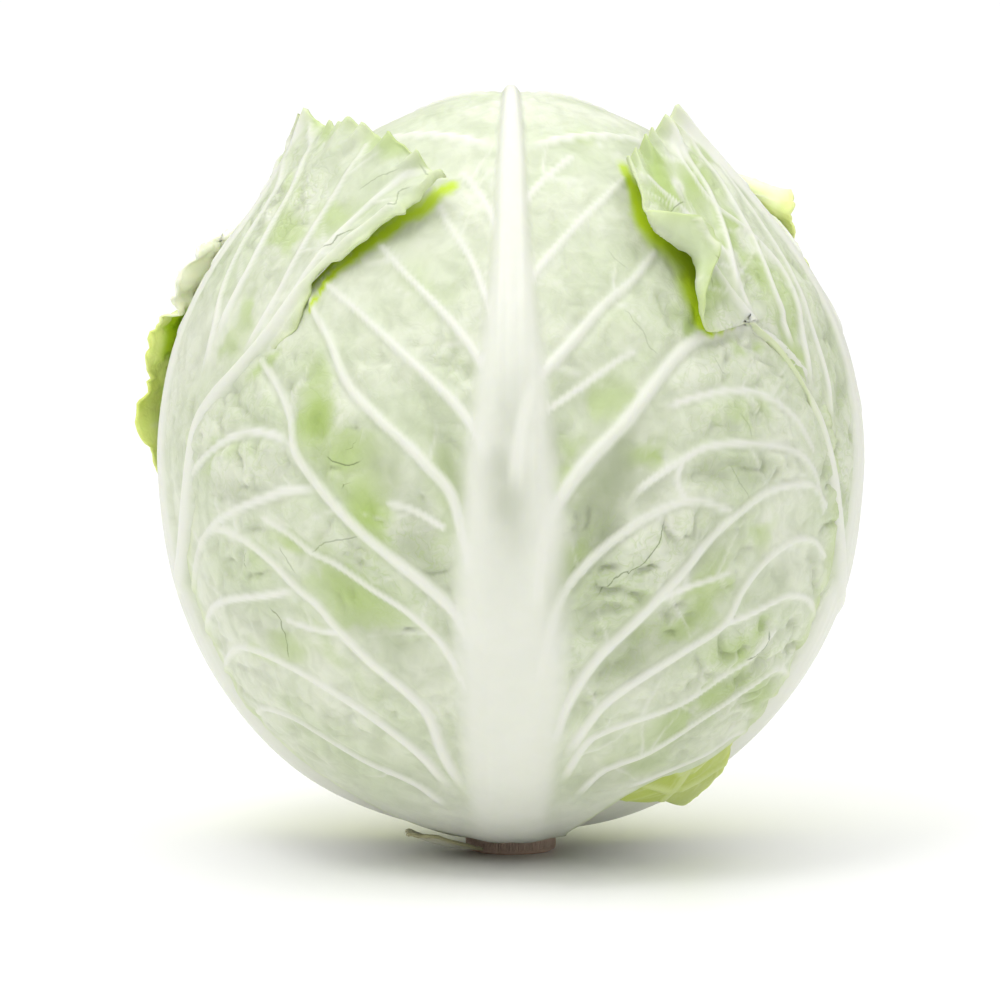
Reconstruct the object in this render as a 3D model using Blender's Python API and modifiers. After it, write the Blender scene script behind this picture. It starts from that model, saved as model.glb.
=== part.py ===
# Cabbage head on its cut stem: a heart of folded leaves inside five wrapper leaves, with the tip
# of a small leaf tucked in low on the right and the stub of a leaf that was cut away.
# The origin is the middle of the cut face, +Z is up, and the front leaf faces -Y.
import math

import bmesh
import bpy
import numpy as np
from mathutils import Vector

# Driving dimensions, in metres and degrees
HEAD_RADIUS = 0.0885
HEAD_HALF_HEIGHT = 0.0955
HEAD_CENTRE_Z = 0.0985
CROWN_POWER = 1.84  # above the middle the outline is a little pointed
BASE_POWER = 2.0
LEAF_THICKNESS = 0.0011
LAYER_STEP = 0.0031  # from one leaf's face to the face of the leaf that lies on it
HEART_DEPTH = 0.0071  # how far the heart lies inside the wrapper leaves
HEART_SWELL = 0.0005
STEM_RADIUS = 0.0118
STEM_FACE_RADIUS = 0.0110
STEM_TOP_Z = 0.0092
VIEW_TILT = 7.0  # the front leaf's veins are measured in a view that looks down this much

# How finely a leaf is shaped before its triangles are thinned
GRID_ACROSS = 120
GRID_ALONG = 150
HEART_TRIANGLES = 700


# Points on the head


def direction(azimuth, polar):
    """Unit vector from the head's centre: azimuth 0 faces -Y and grows to +X, polar 0 points down."""
    a, p = np.radians(azimuth), np.radians(polar)
    return np.stack([np.sin(p) * np.sin(a), -np.sin(p) * np.cos(a), -np.cos(p)], axis=-1)


def unit(vectors):
    return vectors / np.linalg.norm(vectors, axis=-1, keepdims=True)


def head_distance(d):
    """Distance from the head's centre to the wrapper leaves' face, along unit vectors."""
    across = np.hypot(d[..., 0], d[..., 1]) / HEAD_RADIUS
    up = np.abs(d[..., 2]) / HEAD_HALF_HEIGHT
    power = np.where(d[..., 2] > 0, CROWN_POWER, BASE_POWER)
    return (across**power + up**power) ** (-1 / power)


def on_head(d, offset=0.0):
    centre = np.array([0.0, 0.0, HEAD_CENTRE_Z])
    return centre + d * (head_distance(d) + offset)[..., None]


def seen_from_front(x_mm, v_mm):
    """Direction of a point measured across and up from the head's centre in the tilted front view."""
    x, v = x_mm / 1000, v_mm / 1000
    inside = 1 - (x / HEAD_RADIUS) ** 2 - (v / HEAD_HALF_HEIGHT) ** 2
    depth = HEAD_RADIUS * math.sqrt(max(inside, 0.0))
    tilt = math.radians(VIEW_TILT)
    y = -depth * math.cos(tilt) + v * math.sin(tilt)
    z = v * math.cos(tilt) + depth * math.sin(tilt)
    return unit(np.array([x, y, z]))


def smooth_path(knots, at):
    """Catmull-Rom curve through evenly spaced knots, read at shares 0 to 1."""
    knots = np.asarray(knots, float)
    last = len(knots) - 1
    padded = np.concatenate([[2 * knots[0] - knots[1]], knots, [2 * knots[-1] - knots[-2]]])
    place = np.clip(np.asarray(at) * last, 0, last - 1e-9)
    i = place.astype(int)
    f = place - i
    if knots.ndim > 1:
        f = f[..., None]
    p0, p1, p2, p3 = (padded[i + k] for k in range(4))
    bend = (2 * p0 - 5 * p1 + 4 * p2 - p3) * f**2
    twist = (3 * p1 - p0 - 3 * p2 + p3) * f**3
    return 0.5 * (2 * p1 + (p2 - p0) * f + bend + twist)


def along_great_circle(a, b, share):
    angle = np.arccos(np.clip((a * b).sum(-1), -1, 1))
    angle = np.maximum(angle, 1e-6)
    first = np.sin((1 - share) * angle) / np.sin(angle)
    second = np.sin(share * angle) / np.sin(angle)
    return unit(a * first[..., None] + b * second[..., None])


# The leaves. Each list runs from the leaf's foot to its tip. midrib, left and right hold
# azimuth and polar angle, and left is the side of the smaller azimuth. The level lists count
# layers above or below the head's face, and flare and ruffle are the rim's lift in mm.

FRONT_LEAF = {
    "name": "front_leaf",
    "midrib": [(0, 8), (0, 20), (0, 36), (0, 54), (0, 74), (0, 96), (0, 120), (0, 148), (0, 182), (0, 221)],
    "left": [(-46, 8.4), (-48, 19), (-60, 34), (-69, 52), (-69.5, 71), (-69.2, 88),
             (-70, 105), (-78, 122), (-108, 130), (-150, 135)],
    "right": [(44, 8.4), (33, 19), (38, 33), (65, 50), (65, 71), (65.2, 88),
              (66, 105), (76, 122), (108, 130), (150, 135)],
    "midrib_level": [0, 0, 0, 0, 0, 0, 0, 0, 0, 0],
    "left_level": [0, 0, 0, 0, 0, 0, 0, 0, 0, 0],
    "right_level": [0, 0, 0, 0, 0, 0, 0, 0, 0, 0],
    "left_flare": [0, 0, 0, 0, 0, 0, 0, 0, 0, 0],
    "right_flare": [0, 0, 0.5, 0.5, 0, 0, 0, 0, 0, 0],
    "tip_flare": 0.0,
    "ruffle": 0.0,
    "rib_width": [10.5, 13.5, 15.5, 13, 9, 6.5, 5, 4.2, 3.6, 2.4],
    "rib_height": [2.2, 3.8, 6.0, 5.8, 4.6, 3.6, 2.8, 2.2, 1.4, 0.6],
    "triangles": 1900,
}

LEFT_LEAF = {
    "name": "left_leaf",
    "midrib": [(-74, 8.8), (-79, 20), (-82, 35), (-84, 52), (-85, 70), (-86, 85),
               (-86, 99), (-86, 112), (-86, 125), (-86, 138), (-86, 150)],
    "left": [(-98, 9.2), (-107, 20), (-113, 34), (-119, 52), (-122, 70), (-122, 85),
             (-121, 98), (-117, 110), (-113, 122), (-109, 134), (-106, 146)],
    "right": [(-50, 9.4), (-41, 21), (-50, 34), (-60, 52), (-66, 70), (-70.4, 86),
              (-68, 101), (-54, 112), (-42, 123.5), (-28, 134), (-15, 142.5)],
    "midrib_level": [-0.6, -0.4, 0, 0, 0, 0, 0.4, 0.9, 1.0, 1.1, 1.2],
    "left_level": [-0.9, -0.6, -0.4, -0.15, -0.25, -0.3, -0.3, -0.1, 0.5, 1.0, 1.2],
    "right_level": [-1.3, -1.3, -1.3, -1.3, -1.3, -0.5, 0.8, 1.1, 1.3, 1.4, 1.4],
    "left_flare": [0, 0, 0, 0, 0, 0, 0, 0, 0, 0, 2],
    "right_flare": [0, 0, 0, 0, 0, 0.3, 0.5, 1, 2, 3, 3],
    "tip_flare": 6.5,
    "ruffle": 1.1,
    "rib_width": [8, 11, 15, 16, 14, 11, 8, 6, 4.5, 3.5, 2.5],
    "rib_height": [0.8, 1.2, 1.8, 2.2, 2.2, 2, 1.8, 1.6, 1.4, 1.2, 0.8],
    "triangles": 900,
}

RIGHT_LEAF = {
    "name": "right_leaf",
    "midrib": [(72, 8.8), (77, 20), (79, 35), (80, 52), (81, 70), (82, 85),
               (83, 99), (83, 113), (82, 127), (80, 141), (76, 154)],
    "left": [(49, 9.4), (24, 20), (26, 34), (50, 52), (61, 70), (66.4, 86),
             (64, 101), (52, 113), (38, 121), (35, 134), (34, 148)],
    "right": [(97, 9.2), (104, 20), (111, 34), (117, 52), (120, 70), (120, 85),
              (119, 98), (116, 110), (112, 123), (107, 136), (101, 149)],
    "midrib_level": [-0.8, -0.6, -0.5, -0.3, 0, 0, 0.4, 0.9, 1.0, 1.1, 1.2],
    "left_level": [-1.3, -1.5, -1.55, -1.45, -1.3, -0.5, 0.8, 1.1, 1.4, 1.4, 1.4],
    "right_level": [-0.9, -0.6, -0.4, -0.15, -0.25, -0.3, -0.3, -0.1, 0.5, 1.0, 1.2],
    "left_flare": [0, 0, 0, 0, 0, 0.3, 0.8, 2.5, 4.5, 3, 2],
    "right_flare": [0, 0, 0, 0, 0, 0, 0, 0, 0, 0, 1],
    "tip_flare": 4.5,
    "ruffle": 1.1,
    "rib_width": [8, 11, 15, 16, 14, 11, 8, 6, 4.5, 3.5, 2.5],
    "rib_height": [0.8, 1.2, 1.8, 2.2, 2.2, 2, 1.8, 1.6, 1.4, 1.2, 0.8],
    "triangles": 900,
}

REAR_LEFT_LEAF = {
    "name": "rear_left_leaf",
    "midrib": [(-147, 8.4), (-147, 20), (-147, 35), (-147, 52), (-147, 70), (-147, 88),
               (-147, 104), (-147, 120), (-147, 135), (-148, 148), (-150, 158)],
    "left": [(-177, 8.8), (-182, 20), (-189, 34), (-193, 52), (-195, 70), (-195, 88),
             (-194, 104), (-191, 120), (-184, 134), (-174, 146), (-164, 154)],
    "right": [(-118, 8.8), (-115, 20), (-114, 34), (-114, 52), (-112, 70), (-104, 84),
              (-96, 97), (-95.5, 110), (-96, 121), (-105, 131), (-134, 148)],
    "midrib_level": [0, 0, 0, 0, 0, 0, 0, 0.4, 0.9, 1.2, 1.3],
    "left_level": [-0.3, -0.5, -0.4, 0, 0, 0, 0, 0.2, 0.9, 1.2, 1.3],
    "right_level": [0.2, 0.5, 0.95, 1.1, 1.1, 1.05, 1.1, 1.3, 1.7, 1.7, 1.4],
    "left_flare": [0, 0, 0, 0, 0, 0, 0, 0, 0, 0, 0],
    "right_flare": [0, 0, 0, 0, 0, 0, 3.6, 4.6, 2, 0.5, 0],
    "tip_flare": 1.0,
    "ruffle": 2.0,
    "rib_width": [8, 11, 14, 13, 10, 8, 6.5, 5.5, 4.5, 3.5, 2.5],
    "rib_height": [1.0, 2.0, 3.4, 3.6, 3.2, 2.6, 2.2, 1.8, 1.4, 0.8, 0.5],
    "triangles": 760,
}

REAR_RIGHT_LEAF = {
    "name": "rear_right_leaf",
    "midrib": [(147, 8.4), (147, 20), (146, 35), (145, 52), (144, 70), (144, 88),
               (144, 104), (145, 120), (145, 135), (146, 148), (149, 158)],
    "left": [(118, 8.8), (115, 20), (114, 34), (113, 52), (112, 70), (111, 86),
             (110, 101), (108, 115), (98, 127), (97, 136), (128, 148)],
    "right": [(176, 8.8), (175, 20), (178, 34), (180, 52), (181, 70), (181, 88),
              (180, 104), (178, 120), (171, 134), (164, 146), (160, 154)],
    "midrib_level": [0, 0, 0, 0, 0, 0, 0, 0.4, 0.9, 1.2, 1.3],
    "left_level": [0.2, 0.5, 0.95, 1.0, 1.0, 1.1, 1.25, 1.5, 1.7, 1.9, 1.4],
    "right_level": [0.3, 0.6, 1.1, 1.3, 1.3, 1.3, 1.3, 1.3, 1.25, 1.25, 1.3],
    "left_flare": [0, 0, 0, 0, 0, 0, 0, 0, 0.5, 4, 0],
    "right_flare": [0, 0, 0, 0, 0.5, 1, 1, 0.5, 0, 0, 0],
    "tip_flare": 1.0,
    "ruffle": 1.4,
    "rib_width": [8, 11, 14, 13, 10, 8, 6.5, 5.5, 4.5, 3.5, 2.5],
    "rib_height": [1.0, 2.0, 3.4, 3.6, 3.2, 2.6, 2.2, 1.8, 1.4, 0.8, 0.5],
    "triangles": 760,
}

# The tip of a small leaf that shows between the front leaf and the right leaf. Its grid runs
# from the free edge, which hangs lowest, up to the end that is tucked in.
TUCKED_LEAF = {
    "name": "tucked_leaf",
    "midrib": [(52, 29), (49, 35), (47, 41), (46, 48), (46, 54)],
    "left": [(36, 30.6), (33, 36), (35, 41), (39, 47), (42, 53)],
    "right": [(73, 29), (68, 35), (57, 41.5), (53, 48), (50, 53)],
    "midrib_level": [0.5, -0.1, -0.62, -0.68, -0.7],
    "left_level": [-0.35, -0.58, -0.64, -0.68, -0.7],
    "right_level": [0.8, 0.4, -0.6, -0.68, -0.7],
    "left_flare": [0, 0, 0, 0, 0],
    "right_flare": [1, 0.4, 0, 0, 0],
    "tip_flare": 0.0,
    "ruffle": 0.6,
    "rib_width": [2, 2, 2, 2, 2],
    "rib_height": [0, 0, 0, 0, 0],
    "triangles": 260,
}

# What is left of an outer leaf that was cut away, beside the stem
TRIMMED_BASE = {
    "name": "trimmed_leaf_base",
    "midrib": [(-56, 8.3), (-56, 11), (-57, 13.5), (-58, 16)],
    "left": [(-76, 8.3), (-75, 10.5), (-72, 12.5), (-70, 14)],
    "right": [(-34, 8.3), (-36, 10), (-40, 12), (-43, 13.5)],
    "midrib_level": [0.95, 1.0, 1.0, 0.85],
    "left_level": [0.9, 0.95, 0.95, 0.9],
    "right_level": [0.95, 1.0, 1.0, 0.95],
    "left_flare": [0, 0, 0, 0],
    "right_flare": [0, 0, 0, 0],
    "tip_flare": 0.6,
    "ruffle": 0.0,
    "rib_width": [2, 2, 2, 2],
    "rib_height": [0, 0, 0, 0],
    "triangles": 120,
}

# The front leaf's side veins, each from the midrib outwards, in mm across and up from the
# head's centre in the tilted front view. Veins near the rim arch over and join their neighbour.
FRONT_VEINS = [
    [(-8, 26), (-20, 36), (-28, 47), (-33, 57), (-41, 67)],
    [(-8, 8), (-18, 18), (-28, 27), (-40, 40), (-47, 47), (-55, 54)],
    [(-11, -24), (-14, -10), (-20, 0), (-27, 8), (-36, 18), (-42, 25), (-49, 36), (-52, 43)],
    [(-13, -37), (-21, -30), (-30, -23), (-40, -14), (-48, -4), (-55, 5), (-62, 9), (-69, 8),
     (-76, 4), (-82, -3)],
    [(-14, -49), (-22, -40), (-33, -33), (-42, -27), (-50, -22), (-55, -17), (-59, -13)],
    [(-18, -69), (-22, -59), (-30, -52), (-37, -46), (-50, -34), (-62, -23), (-68, -18), (-74, -16)],
    [(-22, -73), (-30, -67), (-37, -61), (-48, -55), (-55, -51), (-63, -47), (-69, -46), (-71, -50),
     (-72, -54)],
    [(-30, -80), (-36, -76), (-44, -70), (-50, -66), (-58, -62), (-62, -61), (-64, -64)],
    [(-47, -5), (-55, -6), (-62, -8), (-70, -11), (-76, -16), (-80, -23), (-80, -31)],
    [(-53, -31), (-60, -32), (-68, -31), (-73, -34), (-77, -38), (-77, -43)],
    [(-41, 20), (-48, 23), (-53, 25), (-59, 25), (-66, 25), (-70, 22), (-75, 15)],
    [(3, 38), (6, 46), (12, 55), (19, 62), (28, 71), (36, 78)],
    [(3, 4), (5, 13), (10, 22), (16, 31), (23, 38), (30, 46), (36, 53), (44, 60)],
    [(7, -19), (9, -12), (14, -5), (21, 4), (28, 13), (34, 20), (40, 26), (44, 30), (50, 33),
     (57, 35), (64, 34)],
    [(11, -37), (14, -30), (21, -22), (28, -16), (35, -11), (42, -9), (49, -9), (54, -11)],
    [(34, -5), (42, 1), (49, 4), (56, 5), (65, 6), (71, 4), (76, 0)],
    [(16, -55), (21, -50), (28, -42), (35, -36), (42, -28), (49, -19), (56, -12), (64, -7),
     (71, -5), (76, -5)],
    [(23, -64), (31, -57), (39, -50), (45, -45), (53, -40), (61, -29), (67, -22), (72, -19), (77, -19)],
    [(53, -40), (60, -39), (66, -36), (71, -33), (76, -34), (77, -38)],
    [(27, -70), (35, -63), (42, -59), (49, -54), (56, -50), (61, -47)],
    [(31, -73), (42, -67), (51, -62), (56, -57), (62, -53), (67, -51), (70, -52), (70, -55)],
    [(36, -79), (45, -76), (53, -70), (56, -68), (61, -67)],
    [(40, 13), (47, 16), (54, 18), (60, 17), (68, 13), (74, 6)],
]
FRONT_VEIN_WIDTH = (2.9, 2.0)  # mm from a vein's middle to its foot, at the midrib and at the rim
FRONT_VEIN_HEIGHT = (2.1, 1.1)

# The other leaves' side veins leave the midrib at these shares of its length
SIDE_VEIN_STARTS = (0.16, 0.27, 0.38, 0.48, 0.58, 0.68, 0.78, 0.88)
SIDE_VEIN_RISE = 0.05
SIDE_VEIN_WIDTH = (2.8, 1.8)
SIDE_VEIN_HEIGHT = (1.4, 0.8)

RUFFLE_WAVES = 9.5
RUFFLE_DEPTH = 0.75  # the ruffle starts this share of the way to the rim
TIP_START = 0.84  # the tip leans out from this share of the leaf's length


def leaf_direction(leaf, u, v):
    """Direction of leaf point (u, v): u runs from -1 to 1 across the leaf, v from foot to tip."""
    middle = smooth_path([direction(*p) for p in leaf["midrib"]], v)
    left = smooth_path([direction(*p) for p in leaf["left"]], v)
    right = smooth_path([direction(*p) for p in leaf["right"]], v)
    side = np.where((u < 0)[..., None], left, right)
    return along_great_circle(unit(middle), unit(side), np.abs(u))


def leaf_lift(leaf, u, v):
    """Height of the leaf's face over the head's face, without its ribs and veins."""
    share = np.abs(u)
    blend = share**2 * (3 - 2 * share)
    side_level = np.where(u < 0, smooth_path(leaf["left_level"], v), smooth_path(leaf["right_level"], v))
    level = smooth_path(leaf["midrib_level"], v) * (1 - blend) + side_level * blend
    flare = np.where(u < 0, smooth_path(leaf["left_flare"], v), smooth_path(leaf["right_flare"], v))
    rim = np.clip((share - RUFFLE_DEPTH) / (1 - RUFFLE_DEPTH), 0, 1)
    wave = np.sin(2 * np.pi * RUFFLE_WAVES * v + 2.0 * u) * np.clip(flare / 4, 0, 1) * rim**2
    tip = np.clip((v - TIP_START) / (1 - TIP_START), 0, 1) ** 2 * np.cos(np.pi / 2 * share) ** 0.5
    tip_wave = 1 + 0.2 * np.sin(19 * u + 1) + 0.16 * np.sin(34 * u)
    return level * LAYER_STEP + (
        flare * share**5 + leaf["ruffle"] * wave + leaf["tip_flare"] * tip * tip_wave
    ) / 1000


def side_veins(leaf):
    """The side veins of a leaf that follows the general rule, as paths of directions."""
    paths = []
    share = np.linspace(0.04, 0.93, 9)
    for start in SIDE_VEIN_STARTS:
        for side in (-1, 1):
            v = np.minimum(start + SIDE_VEIN_RISE * share * (2 - share), 0.98)
            paths.append(leaf_direction(leaf, side * share, v))
    return paths


def distance_to_path(points, path):
    """Distance from each point to a path, and the share of the path's length at the nearest place."""
    best = np.full(len(points), np.inf)
    share = np.zeros(len(points))
    steps = np.linalg.norm(np.diff(path, axis=0), axis=1)
    reached = np.concatenate([[0], np.cumsum(steps)])
    for i, step in enumerate(steps):
        way = path[i + 1] - path[i]
        f = np.clip(((points - path[i]) @ way) / step**2, 0, 1)
        gap = np.linalg.norm(points - path[i] - f[:, None] * way, axis=1)
        nearer = gap < best
        best = np.where(nearer, gap, best)
        share = np.where(nearer, (reached[i] + f * step) / reached[-1], share)
    return best, share


def rib_profile(distance, half_width):
    return np.clip(1 - (distance / half_width) ** 2, 0, None) ** 2


def relief(leaf, base, veins, vein_width, vein_height):
    """Height that the midrib and the side veins add to the leaf's face."""
    midrib = on_head(leaf_direction(leaf, np.zeros(60), np.linspace(0, 1, 60)))
    gap, share = distance_to_path(base, midrib)
    half_width = smooth_path(leaf["rib_width"], share) / 1000
    height = rib_profile(gap, half_width) * smooth_path(leaf["rib_height"], share) / 1000
    for path in veins:
        gap, share = distance_to_path(base, on_head(path))
        half_width = (vein_width[0] + (vein_width[1] - vein_width[0]) * share) / 1000
        crest = (vein_height[0] + (vein_height[1] - vein_height[0]) * share) / 1000
        height = np.maximum(height, rib_profile(gap, half_width) * crest)
    return height


def add_material(name, colour, roughness):
    material = bpy.data.materials.new(name)
    material.use_nodes = True
    shader = material.node_tree.nodes["Principled BSDF"]
    shader.inputs["Base Color"].default_value = (*colour, 1)
    shader.inputs["Roughness"].default_value = roughness
    shader.inputs["Metallic"].default_value = 0
    return material


def add_grid(name, collection):
    """A flat square grid from -1 to 1, whose points are then placed on the head."""
    mesh = bpy.data.meshes.new(name)
    grid = bmesh.new()
    bmesh.ops.create_grid(grid, x_segments=GRID_ACROSS, y_segments=GRID_ALONG, size=1)
    grid.to_mesh(mesh)
    grid.free()
    obj = bpy.data.objects.new(name, mesh)
    collection.objects.link(obj)
    return obj


def thin_triangles(obj, wanted):
    """Decimate keeps the ribs and thins the plain stretches between them."""
    triangles = sum(len(face.vertices) - 2 for face in obj.data.polygons)
    decimate = obj.modifiers.new("thin", "DECIMATE")
    decimate.ratio = wanted / triangles


def add_leaf(leaf, material, collection):
    obj = add_grid(leaf["name"], collection)
    mesh = obj.data
    flat = np.array([vertex.co for vertex in mesh.vertices])
    u, v = flat[:, 0], (flat[:, 1] + 1) / 2
    d = leaf_direction(leaf, u, v)
    if leaf is FRONT_LEAF:
        veins = [np.array([seen_from_front(x, z) for x, z in points]) for points in FRONT_VEINS]
        bumps = relief(leaf, on_head(d), veins, FRONT_VEIN_WIDTH, FRONT_VEIN_HEIGHT)
    elif leaf in (TUCKED_LEAF, TRIMMED_BASE):
        bumps = relief(leaf, on_head(d), [], SIDE_VEIN_WIDTH, SIDE_VEIN_HEIGHT)
    else:
        bumps = relief(leaf, on_head(d), side_veins(leaf), SIDE_VEIN_WIDTH, SIDE_VEIN_HEIGHT)
    points = on_head(d, leaf_lift(leaf, u, v) + bumps)
    for vertex, point in zip(mesh.vertices, points):
        vertex.co = Vector(point)
    # The grid's faces look along +Z, and azimuth grows with u, so they already face outwards.
    thin_triangles(obj, leaf["triangles"])
    # The ribs and veins are solid, so the blade is as much thicker there as they rise.
    thickest = LEAF_THICKNESS + bumps.max()
    group = obj.vertex_groups.new(name="thickness")
    for vertex, bump in zip(mesh.vertices, bumps):
        group.add([vertex.index], (LEAF_THICKNESS + bump) / thickest, "REPLACE")
    shell = obj.modifiers.new("blade", "SOLIDIFY")
    shell.thickness = thickest
    shell.vertex_group = group.name
    shell.offset = -1
    mesh.materials.append(material)
    mesh.shade_smooth()
    return obj


def add_heart(material, collection):
    """The folded inner leaves, a ball inside the wrappers with a few leaf edges showing as swells."""
    mesh = bpy.data.meshes.new("heart")
    ball = bmesh.new()
    bmesh.ops.create_icosphere(ball, subdivisions=4, radius=1)
    for vertex in ball.verts:
        d = np.array(vertex.co.normalized())
        turn = math.atan2(d[0], -d[1])
        swell = HEART_SWELL * math.sin(3 * turn + 4 * d[2])
        vertex.co = Vector(on_head(d, np.float64(swell - HEART_DEPTH)))
    ball.to_mesh(mesh)
    ball.free()
    obj = bpy.data.objects.new("heart", mesh)
    collection.objects.link(obj)
    thin_triangles(obj, HEART_TRIANGLES)
    mesh.materials.append(material)
    mesh.shade_smooth()
    return obj


def add_stem(material, collection):
    """The stem's stub: a turned profile that runs down its outer side to the flat cut face."""
    profile = [
        (0.0, STEM_TOP_Z),
        (STEM_RADIUS * 0.8, STEM_TOP_Z),
        (STEM_RADIUS, STEM_TOP_Z * 0.7),
        (STEM_RADIUS, STEM_TOP_Z * 0.3),
        (STEM_RADIUS * 0.95, 0.0009),
        (STEM_FACE_RADIUS, 0.0),
        (0.0, 0.0),
    ]
    mesh = bpy.data.meshes.new("stem")
    mesh.from_pydata([(r, 0, z) for r, z in profile], [(i, i + 1) for i in range(len(profile) - 1)], [])
    obj = bpy.data.objects.new("stem", mesh)
    collection.objects.link(obj)
    turn = obj.modifiers.new("turn", "SCREW")
    turn.steps = turn.render_steps = 36
    turn.use_merge_vertices = True
    turn.merge_threshold = 0.00001
    turn.use_smooth_shade = True
    mesh.materials.append(material)
    return obj


def main():
    for obj in list(bpy.data.objects):
        bpy.data.objects.remove(obj)
    head = bpy.data.collections.new("cabbage_head")
    bpy.context.scene.collection.children.link(head)

    pale_leaf = add_material("pale_leaf", (0.72, 0.80, 0.58), 0.45)
    green_leaf = add_material("green_leaf", (0.58, 0.72, 0.36), 0.5)
    heart_leaf = add_material("heart_leaf", (0.78, 0.84, 0.52), 0.5)
    trimmed_leaf = add_material("trimmed_leaf", (0.75, 0.76, 0.60), 0.5)
    cut_stem = add_material("cut_stem", (0.66, 0.50, 0.38), 0.7)

    for leaf in (FRONT_LEAF, LEFT_LEAF, RIGHT_LEAF):
        add_leaf(leaf, pale_leaf, head)
    for leaf in (REAR_LEFT_LEAF, REAR_RIGHT_LEAF, TUCKED_LEAF):
        add_leaf(leaf, green_leaf, head)
    add_leaf(TRIMMED_BASE, trimmed_leaf, head)
    add_heart(heart_leaf, head)
    add_stem(cut_stem, head)


main()
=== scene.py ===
import itertools
import math

import bpy
import numpy as np
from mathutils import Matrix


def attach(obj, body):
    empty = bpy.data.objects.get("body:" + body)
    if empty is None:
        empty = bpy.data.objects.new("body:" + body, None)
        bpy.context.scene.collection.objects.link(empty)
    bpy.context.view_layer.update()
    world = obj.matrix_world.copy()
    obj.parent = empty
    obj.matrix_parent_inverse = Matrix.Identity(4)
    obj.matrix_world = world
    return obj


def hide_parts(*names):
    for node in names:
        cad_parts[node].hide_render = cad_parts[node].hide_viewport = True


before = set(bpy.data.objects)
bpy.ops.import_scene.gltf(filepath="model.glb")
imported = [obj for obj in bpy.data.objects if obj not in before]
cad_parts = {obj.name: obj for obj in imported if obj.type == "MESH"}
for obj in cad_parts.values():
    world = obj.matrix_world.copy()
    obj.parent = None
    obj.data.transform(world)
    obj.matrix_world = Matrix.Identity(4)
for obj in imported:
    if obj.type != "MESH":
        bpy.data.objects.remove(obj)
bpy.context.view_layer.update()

# The head's own shape, in metres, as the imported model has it
head = {
    "radius": 0.0885,
    "halfHeight": 0.0955,
    "centreZ": 0.0985,
    "crownPower": 1.84,
    "basePower": 2.0,
    "layerStep": 0.0031,
}

# The reference view: where the head's middle lies in it, and its real scale
view = {"centreX": 511, "centreY": 466.7, "mmPerPixel": 0.255, "tilt": 7.0}


def unit(a):
    return a / np.linalg.norm(a, axis=-1, keepdims=True)


def smoothStep(a):
    a = np.clip(a, 0, 1)
    return a * a * (3 - 2 * a)


def fadeIn(a, start, end):  # 0 before start, 1 after end; the other way round where end is smaller
    return smoothStep((a - start) / (end - start))


def direction(azimuth, polar):  # azimuth 0 faces -Y, polar 0 points down
    a, p = np.radians(azimuth), np.radians(polar)
    return np.stack([np.sin(p) * np.sin(a), -np.sin(p) * np.cos(a), -np.cos(p)], axis=-1)


def onHead(d, lift=0.0):
    across = np.hypot(d[..., 0], d[..., 1]) / head["radius"]
    up = np.abs(d[..., 2]) / head["halfHeight"]
    power = np.where(d[..., 2] > 0, head["crownPower"], head["basePower"])
    reach = (across**power + up**power) ** (-1 / power)
    return np.array([0, 0, head["centreZ"]]) + d * (reach + lift)[..., None]


def fromView(pixels, lift=0.0):  # points traced on the reference, put on the head or on a raised leaf
    path = []
    for px, py in pixels:
        x = (px - view["centreX"]) * view["mmPerPixel"] / 1000
        v = (view["centreY"] - py) * view["mmPerPixel"] / 1000
        wide, tall = head["radius"] + lift, head["halfHeight"] + lift
        depth = wide * math.sqrt(max(1 - (x / wide) ** 2 - (v / tall) ** 2, 0))
        tilt = math.radians(view["tilt"])
        y = v * math.sin(tilt) - depth * math.cos(tilt)
        path.append([x, y, v * math.cos(tilt) + depth * math.sin(tilt)])
    return unit(np.array(path))


def smoothPath(knots, at):  # Catmull-Rom through evenly spaced knots
    knots = np.asarray(knots, float)
    last = len(knots) - 1
    padded = np.concatenate([[2 * knots[0] - knots[1]], knots, [2 * knots[-1] - knots[-2]]])
    place = np.clip(np.asarray(at) * last, 0, last - 1e-9)
    i = place.astype(int)
    f = place - i
    if knots.ndim > 1:
        f = f[..., None]
    p0, p1, p2, p3 = (padded[i + k] for k in range(4))
    bend = (2 * p0 - 5 * p1 + 4 * p2 - p3) * f**2
    twist = (3 * p1 - p0 - 3 * p2 + p3) * f**3
    return 0.5 * (2 * p1 + (p2 - p0) * f + bend + twist)


def greatCircle(a, b, share):
    angle = np.maximum(np.arccos(np.clip((a * b).sum(-1), -1, 1)), 1e-6)
    first = np.sin((1 - share) * angle) / np.sin(angle)
    second = np.sin(share * angle) / np.sin(angle)
    return unit(a * first[..., None] + b * second[..., None])


def hashed(cells, seed):  # the same number from -1 to 1 for the same cell, every run
    mix = cells[..., 0] * 127.1 + cells[..., 1] * 311.7 + cells[..., 2] * 74.7 + seed * 19.19
    return 2 * np.modf(np.abs(np.sin(mix)) * 43758.5453)[0] - 1


def softNoise(points, size, seed):
    q = points / size
    cell = np.floor(q)
    f = smoothStep(q - cell)
    total = np.zeros(len(points))
    for corner in itertools.product((0, 1), repeat=3):
        weight = np.ones(len(points))
        for k in range(3):
            weight = weight * (f[:, k] if corner[k] else 1 - f[:, k])
        total += weight * hashed(cell + corner, seed)
    return total


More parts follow.
